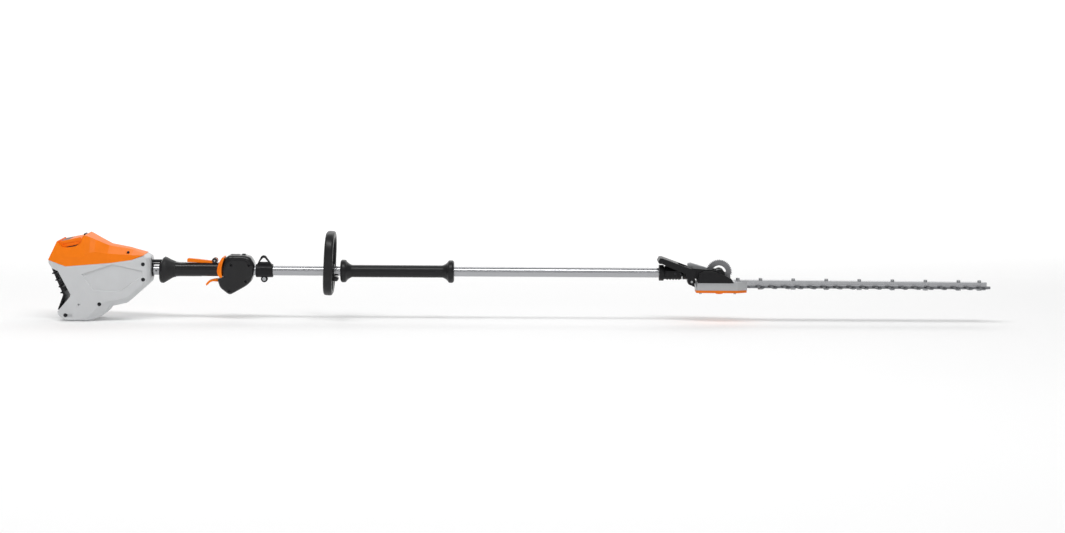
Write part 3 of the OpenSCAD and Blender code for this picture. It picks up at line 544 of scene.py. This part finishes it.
def cover():
    """Orange top cover with the battery's bay, the scallops beside it and the latch's bay."""
    rings = []
    for x, crease, ridge, top in COVER_STATIONS:
        w = half_width(x)
        base = interpolate(SPLIT_LINE, x) + SPLIT_GAP
        low = max(base + 0.2, crease)
        rings.append([(x, -w, base), (x, -w, low), (x, -ridge, top), (x, ridge, top), (x, w, low),
                      (x, w, base)])
    shape = loft("top_cover_skin", rings)
    carve(shape, battery_prism("bay", [(-32.4, 60), (-32.4, -130), (32.4, -130), (32.4, 60)], -51.4, 51.4),
          side_prism("scallop", COVER_SCALLOP, -90, 90),
          battery_prism("latch_bay", [(30, 60), (30, -18), (39.6, -18), (39.6, 60)], -19, 19),
          rod_y("cover_screw_seat", COVER_SCREW, -80, -39.5, 4.2))
    return piece(rounded(shape, 2.2, segments=4, angle=9), ORANGE, ROOT, "orange_plastic", "top_cover")


cover()
piece(rounded(rod_y("cover_screw", COVER_SCREW, -42, -38, 3.4), 0.5), DARK_STEEL, ROOT, "dark_steel")


def grille():
    """Ribbed intake panel that lines the rear notch."""
    skin = side_prism("intake_panel", [(-52, 141), (-23, 71), (-38, 31), (-34, 31), (-18, 70), (-47.5, 139)],
                      -55.5, 55.5)
    slats = []
    for x, z in [(-45.5, 128), (-37, 110), (-29, 92), (-24, 76)]:
        slats.append(side_prism("slat", [(x - 6, z - 1.6), (x - 6, z + 1.6), (x + 4, z + 1.6),
                                         (x + 4, z - 1.6)], -55.4, 55.4))
    windows = [side_prism("window", [(-62, 132), (-30, 132), (-10, 80), (-40, 76)], y - 5.5, y + 5.5)
               for y in range(-45, 46, 15)]
    carve(skin, *windows)
    join(skin, *slats)
    return piece(rounded(skin, 0.5, segments=2), BLACK, ROOT, "black_plastic", "intake_grille")


grille()


def battery_lid():
    """Orange top of the battery with the seat of its display and a finger groove at each end."""
    groove = [(-22, -8), (-22, -13), (22, -13), (22, -8)]
    lid = battery_prism("battery_lid", [(-31, -18), (-31, -3.5), (-27, 0), (27, 0), (31, -3.5), (31, -18)],
                        -50, 50)
    carve(lid, battery_prism("window_seat", [(-26, -2), (-26, 5), (-3, 5), (-3, -2)], -44, 44),
          battery_prism("grip_left", groove, 48.6, 60), battery_prism("grip_right", groove, -60, -48.6))
    return piece(rounded(lid, 2.0, segments=4), ORANGE, "battery", "orange_plastic", "battery_cap")


battery_lid()

# ---------- control handle ----------

# Rings of the flare and the grip: x, low side, high side, half width
GRIP_RINGS = [(230, 101, 156, 30), (233, 98.5, 160, 34), (238, 98.5, 165, 35), (243, 101, 168.5, 35),
              (248, 104, 167, 33.5), (256, 109, 162.5, 28.5), (264, 113.5, 159, 24), (272, 115.8, 156, 21),
              (284, 116.4, 154.6, 19.3), (300, 116.5, 154.5, 19), (412, 116.5, 154.5, 19)]
HUB_OUTLINE = [(384, 113), (391, 88), (414, 70), (422, 70), (464, 94), (475, 105), (481, 120), (484, 138),
               (484, 154), (474, 171), (457, 176), (417, 176), (406, 168), (399, 150), (397, 131),
               (401, 114)]
HUB_CENTRE = (438, 126)
# Size of the hub's outline about its centre, and the half width there
HUB_EDGE = [(0.70, 28), (0.80, 27.5), (0.88, 26), (0.945, 23.4), (0.985, 19.8), (1.0, 15)]
HANDLE_SCREWS = [(423, 150), (471, 149.5), (417, 80), (462, 106), (285, 116.8)]
SLOT_HALF = 8.3  # half width of the slots of the trigger and the lockout lever
LEVER_HALF = 7
LOCKOUT_PIVOT = (377, 160)


def oval(x, low, high, half):
    """Ring across the pole that is a little squarer than an ellipse."""
    return [(x, half * squared(c, 0.92), (low + high) / 2 + (high - low) / 2 * squared(s, 0.92))
            for c, s in circle(1, 56)]


def hub_rings():
    outline = softened(HUB_OUTLINE, 0.3)
    rings = [at_y(drawn_in(outline, HUB_CENTRE, k), -y) for k, y in HUB_EDGE]
    return rings + [at_y(drawn_in(outline, HUB_CENTRE, k), y) for k, y in reversed(HUB_EDGE)]


def handle_half(name, side):
    """One half of the flare, grip and hub: side is -1 for the right, 1 for the left."""
    body = loft(name, [oval(*ring) for ring in GRIP_RINGS])
    join(body, loft("hub", hub_rings()), rod_y("lockout_boss", LOCKOUT_PIVOT, -11, 11, 7.4))
    seats = [rod_y("seat", p, -40, -17, 3.8) for p in HANDLE_SCREWS]
    carve(body, lathe_x("bore", [(200, BORE_R), (500, BORE_R)]),
          block("lever_slot", (298, -SLOT_HALF, 149.4), (369, SLOT_HALF, 200)),
          rod_y("lever_hub", LOCKOUT_PIVOT, -7.3, 7.3, 9),
          block("trigger_slot", (340, -SLOT_HALF, 80), (407, SLOT_HALF, 118.5)),
          block("display_seat", (420, -13, 174.4), (444, 13, 182)),
          rod_z("button_seat", (455, 0), 160, 182, 5.3), *seats)
    keep_side(body, side)
    return piece(rounded(body, 0.8, segments=2), GLOSSY, ROOT, "black_plastic",
                 "handle_right" if side < 0 else "handle_left", angle=45)


handle_half("handle_shell_right", -1)
handle_half("handle_shell_left", 1)


def flare_skin():
    """Pebbled rubber skin moulded over the handle's flared rear end."""
    grown = [(x, low - 0.7, high + 0.7, half + 0.7) for x, low, high, half in GRIP_RINGS[2:8]]
    skin = loft("flare_skin", [oval(*ring) for ring in grown])
    carve(skin, lathe_x("flare_bore", [(200, 17.5), (300, 17.5)]))
    return piece(skin, RUBBER, ROOT, "black_rubber", angle=60)


flare_skin()

SLIDER_OUTLINE = [(399, 171), (389, 153), (384.5, 136), (386, 124), (392, 116), (399, 116), (396, 131),
                  (398, 150), (405, 169)]
SLIDER_RIDGE = [(393.6, 160), (388.1, 146), (385.8, 135), (388.6, 132), (391.1, 144), (396.6, 158)]


def slider():
    """Unlocking slide that straddles the hub's rear, with a raised ridge on each cheek."""
    shape = side_prism("unlock_slider_skin", softened(SLIDER_OUTLINE, 0.3, 3), -26, 26)
    carve(shape, lathe_x("slider_bore", [(370, 19.3), (420, 19.3)], centre_z=AXIS_Z + 2.5),
          block("slider_mouth", (370, -19.3, 100), (420, 19.3, AXIS_Z + 2)))
    join(shape, side_prism("slider_ridge", SLIDER_RIDGE, -27.2, -24),
         side_prism("slider_ridge", SLIDER_RIDGE, 24, 27.2))
    return piece(rounded(shape, 1.6, segments=3), ORANGE, "unlock_slider", "orange_plastic", "unlock_slider")


slider()

# [x, z] outlines of the trigger and of the lockout lever's paddle
TRIGGER_OUTLINE = [(354, 91), (363, 100.5), (372, 104), (386, 103), (392, 100), (402, 103), (402, 112),
                   (386, 112), (372, 110), (361, 106.5), (352, 97)]
PADDLE_OUTLINE = [(303, 155.5), (303, 164), (306, 165.5), (330, 163.4), (360, 160), (378, 158.5), (378, 153),
                  (360, 153.5)]


def trigger():
    blade = side_prism("trigger_blade", softened(TRIGGER_OUTLINE, 0.3, 3), -8, 8)
    return piece(rounded(blade, 1.5, segments=4), ORANGE, "trigger", "orange_plastic", "trigger")


def lockout_lever():
    """Lockout lever, and the head of the pin that it turns on."""
    paddle = side_prism("lockout_paddle", PADDLE_OUTLINE, -LEVER_HALF, LEVER_HALF)
    join(paddle, rod_y("lockout_eye", LOCKOUT_PIVOT, -LEVER_HALF, LEVER_HALF, 6.5))
    piece(rounded(paddle, 1.2, segments=3), ORANGE, "lockout_lever", "orange_plastic", "lockout_lever")
    head = rod_y("lockout_pivot_head", LOCKOUT_PIVOT, -13.4, -10.9, 2.4)
    piece(rounded(head, 0.5), STEEL, ROOT, "steel")


trigger()
lockout_lever()

# ---------- fittings along the pole ----------


RING_LUG = (509.5, 111)


def carrying_ring():
    """Collar on the tube with a triangular eye on top and a screw lug below."""
    low, high = mm_box("carrying_ring")
    collar = lathe_x("carrying_ring_skin", [(low.x, 16.5), (low.x + 1.5, 18), (high.x - 1.5, 18),
                                            (high.x, 16.5)], bore=BORE_R)
    eye = [(489, 148), (501, 171), (506, 174.5), (513, 173), (531, 148)]
    join(collar, side_prism("eye_plate", eye, -5, 5), rod_y("lug", RING_LUG, -6, 6, 9),
         block("lug_web", (502, -6, 111), (517, 6, 119)))
    carve(collar, side_prism("eye", [(497, 156.5), (506, 167.5), (511, 167.5), (520, 156.5)], -10, 10),
          rod_y("screw_way", RING_LUG, -10, 10, 3.1),
          lathe_x("ring_bore", [(480, BORE_R), (540, BORE_R)]),
          *[block("dimple", (500, s * 17.2 - 1.6, 139), (519, s * 17.2 + 1.6, 144)) for s in (-1, 1)])
    return piece(rounded(collar, 1.2, segments=3), BLACK, "carrying_ring", "black_plastic", "carrying_ring")


carrying_ring()

LOOP_X = 670
LOOP_Z = mm_box("loop_handle")[0].z
LOOP_HEIGHT = 172
LOOP_WIDTH = 150
LOOP_CORNER = 62
LOOP_DEPTH, LOOP_THICKNESS = 24, 19  # of the band, along the pole and across it
LOOP_LEAN = math.radians(2.5)
LOOP_LUG = (LOOP_X + 33, 112)


def loop_path(inset, per_corner=18):
    """Rounded rectangle across the pole, as (y, height) points at an inset from its outside."""
    r = LOOP_CORNER - inset
    points = []
    for k, (sy, sz) in enumerate([(1, 1), (-1, 1), (-1, -1), (1, -1)]):
        cy = sy * (LOOP_WIDTH / 2 - LOOP_CORNER)
        cz = LOOP_HEIGHT / 2 + sz * (LOOP_HEIGHT / 2 - LOOP_CORNER)
        for i in range(per_corner + 1):
            a = math.pi / 2 * (k + i / per_corner)
            points.append((cy + r * math.cos(a), cz + r * math.sin(a)))
    return points


def loop_handle():
    """Leaning loop of a squarish band, with the stem and the hub that hold it on the tube."""
    centre_line = loop_path(LOOP_THICKNESS / 2)
    sections = 28
    points = []
    for (cy, cz), (oy, oz) in zip(centre_line, loop_path(0)):
        for c, s in circle(1, sections):
            outward = squared(s, 0.62)
            y = cy + (oy - cy) * outward
            h = cz + (oz - cz) * outward
            along = LOOP_DEPTH / 2 + LOOP_DEPTH / 2 * squared(c, 0.62)
            points.append((LOOP_X + along * math.cos(LOOP_LEAN) + h * math.sin(LOOP_LEAN), y,
                           LOOP_Z + h * math.cos(LOOP_LEAN) - along * math.sin(LOOP_LEAN)))
    rings = len(centre_line)
    faces = [(j * sections + i, j * sections + (i + 1) % sections,
              ((j + 1) % rings) * sections + (i + 1) % sections, ((j + 1) % rings) * sections + i)
             for j in range(rings) for i in range(sections)]
    band = raw_object("loop_band", points, faces)
    join(band, block("stem", (LOOP_X + 3, -14, LOOP_Z + 12), (LOOP_X + 25, 14, AXIS_Z - 10)),
         lathe_x("loop_hub", [(LOOP_X + 2, 19), (LOOP_X + 28, 19)]),
         rod_y("loop_lug", LOOP_LUG, -12, 12, 6),
         block("lug_web", (LOOP_X + 20, -12, 107), (LOOP_X + 33, 12, 118)))
    carve(band, lathe_x("loop_bore", [(LOOP_X - 10, BORE_R), (LOOP_X + 60, BORE_R)]),
          rod_y("loop_screw_way", LOOP_LUG, -20, 20, 2.7))
    return piece(rounded(band, 1.0, segments=2, angle=40), SLEEVE_RUBBER, "loop_handle", "black_plastic",
                 "loop_handle", angle=45)


loop_handle()


def grip_sleeve():
    """Long rubber sleeve with the same flange at each end."""
    low, high = mm_box("grip_sleeve")
    flange = (high.z - low.z) / 2
    rear = [(low.x, flange - 5), (low.x + 1.5, flange - 2), (low.x + 4.5, flange), (low.x + 12, flange),
            (low.x + 15, flange - 1.5), (low.x + 17, flange - 5), (low.x + 22, flange - 9.5),
            (low.x + 28, 17.6), (low.x + 32, 16.5)]
    front = [(low.x + high.x - x, r) for x, r in reversed(rear)]
    sleeve = lathe_x("grip_sleeve_skin", rear + front, bore=BORE_R)
    return piece(rounded(sleeve, 0.8, segments=2, angle=25), SLEEVE_RUBBER, ROOT, "black_rubber",
                 "grip_sleeve", angle=50)


grip_sleeve()


def pole_tube():
    tube = lathe_x("pole_tube_skin", [(TUBE_LOW.x, TUBE_R), (TUBE_HIGH.x, TUBE_R)], bore=TUBE_R - TUBE_WALL,
                   count=160)
    carve(tube, rod_y("tube_hole", (220, AXIS_Z - 1), -30, -5, 2.2))
    return piece(tube, ALUMINIUM, ROOT, "aluminium", "pole_tube")


pole_tube()

# ---------- tilt joint ----------

TILT_AXIS = (PIVOT_X, AXIS_Z)
LEVER_PIVOT = (1658, 112)
LEVER_INSIDE = 26.6  # half width of the gap between the lock lever's arms
FORK_ARM = (20, 26)  # inner and outer face of an arm, from the middle
QUADRANT_WAY_R = 35.6
PIN_GUIDE = [(1650, 146), (1648, 158), (1656, 160), (1703, 146), (1703, 134), (1662, 134)]


def pivot_fork():
    """Black fork that carries the gear head, with the bright guide of the lock pin on its far side."""
    frame_block = block("fork_frame", (1644, -26, AXIS_Z - 14), (1662, 26, AXIS_Z + 15))
    arm_faces = [(-FORK_ARM[1], -FORK_ARM[0]), FORK_ARM]
    arm = [(1655, AXIS_Z - 14), (1655, AXIS_Z + 15), (PIVOT_X - 8, AXIS_Z + 10), (PIVOT_X - 8, AXIS_Z - 10)]
    join(frame_block, lathe_x("neck", [(1644, 17), (1662, 17)]),
         *[part for y in arm_faces
           for part in (side_prism("arm", arm, *y), rod_y("arm_eye", TILT_AXIS, *y, 13))],
         rod_y("lever_ear", LEVER_PIVOT, -15.5, 15.5, 11))
    carve(frame_block, lathe_x("shaft_way", [(1640, SHAFT_WAY_R), (1670, SHAFT_WAY_R)]),
          through("bolt_way", TILT_AXIS, 4.55), through("pin_way", LEVER_PIVOT, 3.05),
          rod_y("quadrant_way", TILT_AXIS, -18.9, 19.2, QUADRANT_WAY_R))
    piece(rounded(frame_block, 0.8, segments=2), BLACK, ROOT, "black_plastic", "pivot_fork")
    guide = side_prism("pin_guide", PIN_GUIDE, 8, 19.8)
    carve(guide, rod_y("quadrant_way", TILT_AXIS, -18.9, 19.9, QUADRANT_WAY_R))
    piece(rounded(guide, 1.2, segments=3), CAST, ROOT, "cast_aluminium")


pivot_fork()


def clamp_collar():
    low, high = mm_box("clamp_collar")
    collar = lathe_x("collar_skin", [(low.x, 21.5), (high.x, 21.5)], bore=BORE_R)
    return piece(rounded(collar, 1.6), BLACK, ROOT, "black_plastic", "clamp_collar")


clamp_collar()


def joint_block():
    """Ribbed housing between the tube and the fork, with the seats of its four screws."""
    body = lathe_x("joint_block", [(1584, 17.5), (1644, 17.5)])
    ribs = [lathe_x("rib", [(x, 19), (x + 3, 19)]) for x in range(1592, 1633, 8)]
    join(body, block("ledge", (1588, -22, 126), (1640, 22, 140)),
         block("fin", (1588, -6, 142), (1632, 6, 153)), *ribs)
    seats = [block("seat", (x - 3.4, s * 24.75 - 5.25, 129.5), (x + 3.4, s * 24.75 + 5.25, 136.5))
             for x in (1614, 1629) for s in (-1, 1)]
    carve(body, lathe_x("tube_seat", [(1580, BORE_R), (TUBE_HIGH.x, BORE_R)]),
          lathe_x("shaft_way", [(TUBE_HIGH.x - 1, SHAFT_WAY_R), (1650, SHAFT_WAY_R)]), *seats)
    return piece(rounded(body, 0.9, segments=3), BLACK, ROOT, "black_plastic", "joint_housing")


joint_block()

LOCK_LEVER_SIDE = [(1571, 160), (1567, 165), (1572, 175), (1579, 175), (1667, 143), (1669, 136), (1665, 112),
                   (1666.5, 98), (1659, 101), (1648, 108), (1647, 118), (1641, 134), (1604, 148),
                   (1578, 160)]


def lock_lever():
    """Bridge-shaped lever whose two arms turn on the pin below the fork."""
    shape = side_prism("tilt_lever", LOCK_LEVER_SIDE, -32.5, 32.5)
    carve(shape, block("rear_gap", (1560, -LEVER_INSIDE, 80), (1640, LEVER_INSIDE, 159)),
          block("front_gap", (1624, -LEVER_INSIDE, 80), (1700, LEVER_INSIDE, 200)),
          through("pin_way", LEVER_PIVOT, 3.1))
    return piece(rounded(shape, 1.3, segments=3), BLACK, "lock_lever", "black_plastic", "lock_lever")


lock_lever()

# ---------- gear head ----------

CASE_LOW, CASE_HIGH = mm_box("gear_case")
COVER_LOW, COVER_HIGH = mm_box("bottom_cover")
CASE_TOP = 112
BLADE_WAY = 13.6  # half width of the way of the blades out of the case


def case_plan(half, nose, front, rear, chamfer=5):
    """[x, y] outline of the case: half width of its body and of its nose, X of its ends, rear chamfer."""
    return [(rear, chamfer - half), (rear + chamfer - 1, -half), (1782, -half), (front, -nose), (front, nose),
            (1782, half), (rear + chamfer - 1, half), (rear, half - chamfer)]


def gear_case():
    """Cast case, open below, with two ears on the tilt axis."""
    shape = plan_prism("gear_case_skin", case_plan(CASE_HIGH.y, 17, CASE_HIGH.x, CASE_LOW.x), CASE_LOW.z,
                       CASE_TOP)
    ear = [(PIVOT_X - 13, CASE_TOP - 1), (PIVOT_X - 11, AXIS_Z + 3), (PIVOT_X - 6, AXIS_Z + 10),
           (PIVOT_X + 6, AXIS_Z + 10), (PIVOT_X + 11, AXIS_Z + 3), (PIVOT_X + 13, CASE_TOP - 1)]
    join(shape, side_prism("ear", ear, -18.7, -13), side_prism("ear", ear, 13, 15.2),
         rod_z("boss", (PIVOT_X, 0), CASE_TOP - 2, 117, 12))
    room = [(1718, -24), (1786, -24), (1792, -16), (1792, 16), (1786, 24), (1718, 24)]
    carve(shape, plan_prism("gear_room", room, CASE_LOW.z - 1, 109.4),
          block("rear_room", (1676, -24, CASE_LOW.z - 1), (1719, 24, 106)),
          block("blade_way", (1780, -BLADE_WAY, CASE_LOW.z - 1), (CASE_HIGH.x + 1, BLADE_WAY, 101)),
          block("bar_way", (1776, -12.55, 100), (CASE_HIGH.x + 1, 12.55, 120)),
          rod_z("shaft_way", (PIVOT_X, 0), 100, 130, 8.05),
          through("bolt_way", TILT_AXIS, 3.6))
    return piece(rounded(shape, 0.9, segments=3), CAST, "gear_head", "cast_aluminium", "gear_case")


gear_case()

CHEEK = [(1673, CASE_TOP - 4), (1677, 134), (1690, 140.5), (1712, 140.5), (1740, 133), (1764, 121),
         (1772, CASE_TOP - 4)]


def cheek(name, side):
    """Black cheek over one side of the case: side is -1 for the right, 1 for the left."""
    shape = side_prism(name, CHEEK, *sorted((side * 27, side * 36)))
    low, high = sorted((side * 20, side * (CASE_HIGH.y + 0.05)))
    carve(shape, block("case_seat", (1650, low, 80), (1800, high, CASE_TOP)),
          block("below", (1650, -60, 80), (1800, 60, CASE_TOP - 3)))
    return piece(rounded(shape, 1.5, segments=3), BLACK, "gear_head", "black_plastic")


right_cheek = cheek("case_cheek_right", -1)
cheek("case_cheek_left", 1)
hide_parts("gear_case_cover")


def bottom_cover():
    """Orange cover under the case, with a dome on the bevel shaft's line and a boss under the crank."""
    shape = plan_prism("bottom_cover_skin", case_plan(COVER_HIGH.y, 15, COVER_HIGH.x, COVER_LOW.x, 4.5), 82,
                       CASE_LOW.z)
    dome = loft("dome", [[(PIVOT_X + a, b, z) for a, b in circle(r, 48)]
                         for z, r in ((77, 7.5), (77.5, 9.5), (79, 11), (82.5, 11.5))])
    join(shape, dome, rod_z("crank_boss", (1755, 0), 80, 84, 9.5))
    carve(shape, block("blade_way", (1780, -BLADE_WAY, 84.5), (CASE_HIGH.x + 1, BLADE_WAY, CASE_LOW.z + 1)),
          plan_prism("gear_room", [(1720, -22), (1790, -22), (1790, 22), (1720, 22)], 84.5, CASE_LOW.z + 1))
    return piece(rounded(shape, 1.6, segments=4), COVER_ORANGE, "gear_head", "orange_plastic", "bottom_cover")


bottom_cover()

# ---------- stage, light and camera ----------

TARGET = Vector((1.231, 0.0, 0.148))
CAMERA_DISTANCE = 6.8
CAMERA_ELEVATION = math.radians(6.0)
CAMERA_ROLL = math.radians(0.32)
CAMERA_FOV = math.radians(23.8)

# Metres: the sweep is flat from its front to its bend, then curves up to its top
SWEEP_ENDS = (-12.0, 14.0)
SWEEP_FRONT = -9.0
SWEEP_BEND = 6.0
SWEEP_RADIUS = 3.0
SWEEP_TOP = 9.0
BEND_STEPS = 16
# The sweep's own light grows away from this line, in metres, both behind the tool and in front of it
FLOOR_GLOW_MIDDLE = -1.2
FLOOR_GLOW_DEPTH = (1.5, 6.2)
FLOOR_GLOW = (0.13, 0.60)
WORLD_LIGHT = 0.40


def studio_floor():
    """White sweep: flat under the tool, curving up far behind it."""
    bend = [math.pi / 2 * i / BEND_STEPS for i in range(BEND_STEPS + 1)]
    profile = [(SWEEP_FRONT, 0.0)]
    profile += [(SWEEP_BEND + SWEEP_RADIUS * math.sin(a), SWEEP_RADIUS - SWEEP_RADIUS * math.cos(a))
                for a in bend]
    profile.append((SWEEP_BEND + SWEEP_RADIUS, SWEEP_TOP))
    mesh = bpy.data.meshes.new("studio_floor")
    points = [(x, y, z) for x in SWEEP_ENDS for y, z in profile]
    n = len(profile)
    mesh.from_pydata(points, [], [(i, i + 1, n + i + 1, n + i) for i in range(n - 1)])
    for face in mesh.polygons:
        face.use_smooth = True
    floor = bpy.data.objects.new("studio_floor", mesh)
    bpy.context.scene.collection.objects.link(floor)
    mat, tree, surface, coords = shader("studio_white")
    tree.links.new(tinted(tree, spread(tree, noise(tree, coords, 0.7), 0, 1), (0.82, 0.82, 0.82), 0.005),
                   surface.inputs["Base Color"])
    surface.inputs["Roughness"].default_value = 0.85
    surface.inputs["Specular IOR Level"].default_value = 0.1
    surface.inputs["Emission Color"].default_value = (1, 1, 1, 1)
    place = tree.nodes.new("ShaderNodeSeparateXYZ")
    tree.links.new(coords.outputs["Object"], place.inputs["Vector"])
    glow = tree.nodes.new("ShaderNodeMapRange")
    glow.interpolation_type = "SMOOTHSTEP"
    glow.inputs["From Min"].default_value, glow.inputs["From Max"].default_value = FLOOR_GLOW_DEPTH
    glow.inputs["To Min"].default_value, glow.inputs["To Max"].default_value = FLOOR_GLOW
    shifted = tree.nodes.new("ShaderNodeMath")
    shifted.operation = "ADD"
    shifted.inputs[1].default_value = -FLOOR_GLOW_MIDDLE
    distance = tree.nodes.new("ShaderNodeMath")
    distance.operation = "ABSOLUTE"
    tree.links.new(place.outputs["Y"], shifted.inputs[0])
    tree.links.new(shifted.outputs[0], distance.inputs[0])
    tree.links.new(distance.outputs[0], glow.inputs["Value"])
    tree.links.new(glow.outputs["Result"], surface.inputs["Emission Strength"])
    mesh.materials.append(mat)


def softbox(name, location, aim, size, power):
    """Rectangular area light aimed at a point: metres and watts."""
    light = bpy.data.lights.new(name, "AREA")
    light.shape = "RECTANGLE"
    light.size, light.size_y = size
    light.energy = power
    obj = bpy.data.objects.new(name, light)
    bpy.context.scene.collection.objects.link(obj)
    obj.location = location
    obj.rotation_euler = (Vector(aim) - Vector(location)).to_track_quat("-Z", "Y").to_euler()


def studio_world(strength):
    world = bpy.data.worlds.new("studio")
    world.use_nodes = True
    background = world.node_tree.nodes["Background"]
    background.inputs["Color"].default_value = (1.0, 1.0, 1.0, 1.0)
    background.inputs["Strength"].default_value = strength
    bpy.context.scene.world = world


def photo_camera():
    """The camera of the photo: low, in front of the tool, and a little rolled."""
    data = bpy.data.cameras.new("photo_camera")
    data.sensor_fit = "HORIZONTAL"
    data.angle = CAMERA_FOV
    data.clip_end = 100.0
    camera = bpy.data.objects.new("photo_camera", data)
    bpy.context.scene.collection.objects.link(camera)
    back = Vector((0, -math.cos(CAMERA_ELEVATION), math.sin(CAMERA_ELEVATION)))
    turn = (-back).to_track_quat("-Z", "Y").to_matrix().to_4x4() @ Matrix.Rotation(CAMERA_ROLL, 4, "Z")
    camera.matrix_world = Matrix.Translation(TARGET + CAMERA_DISTANCE * back) @ turn
    bpy.context.scene.camera = camera


studio_floor()
studio_world(WORLD_LIGHT)
softbox("key_softbox", (0.6, -2.4, 4.6), (1.2, 0.0, 0.1), (5.5, 1.1), 155)
softbox("front_softbox", (1.6, -6.0, 2.0), (1.2, 0.0, 0.15), (5.5, 0.6), 14)
softbox("back_softbox", (1.2, 3.6, 4.0), (1.2, 0.0, 0.1), (6.0, 2.0), 60)
photo_camera()
bpy.context.scene.view_settings.view_transform = "Standard"
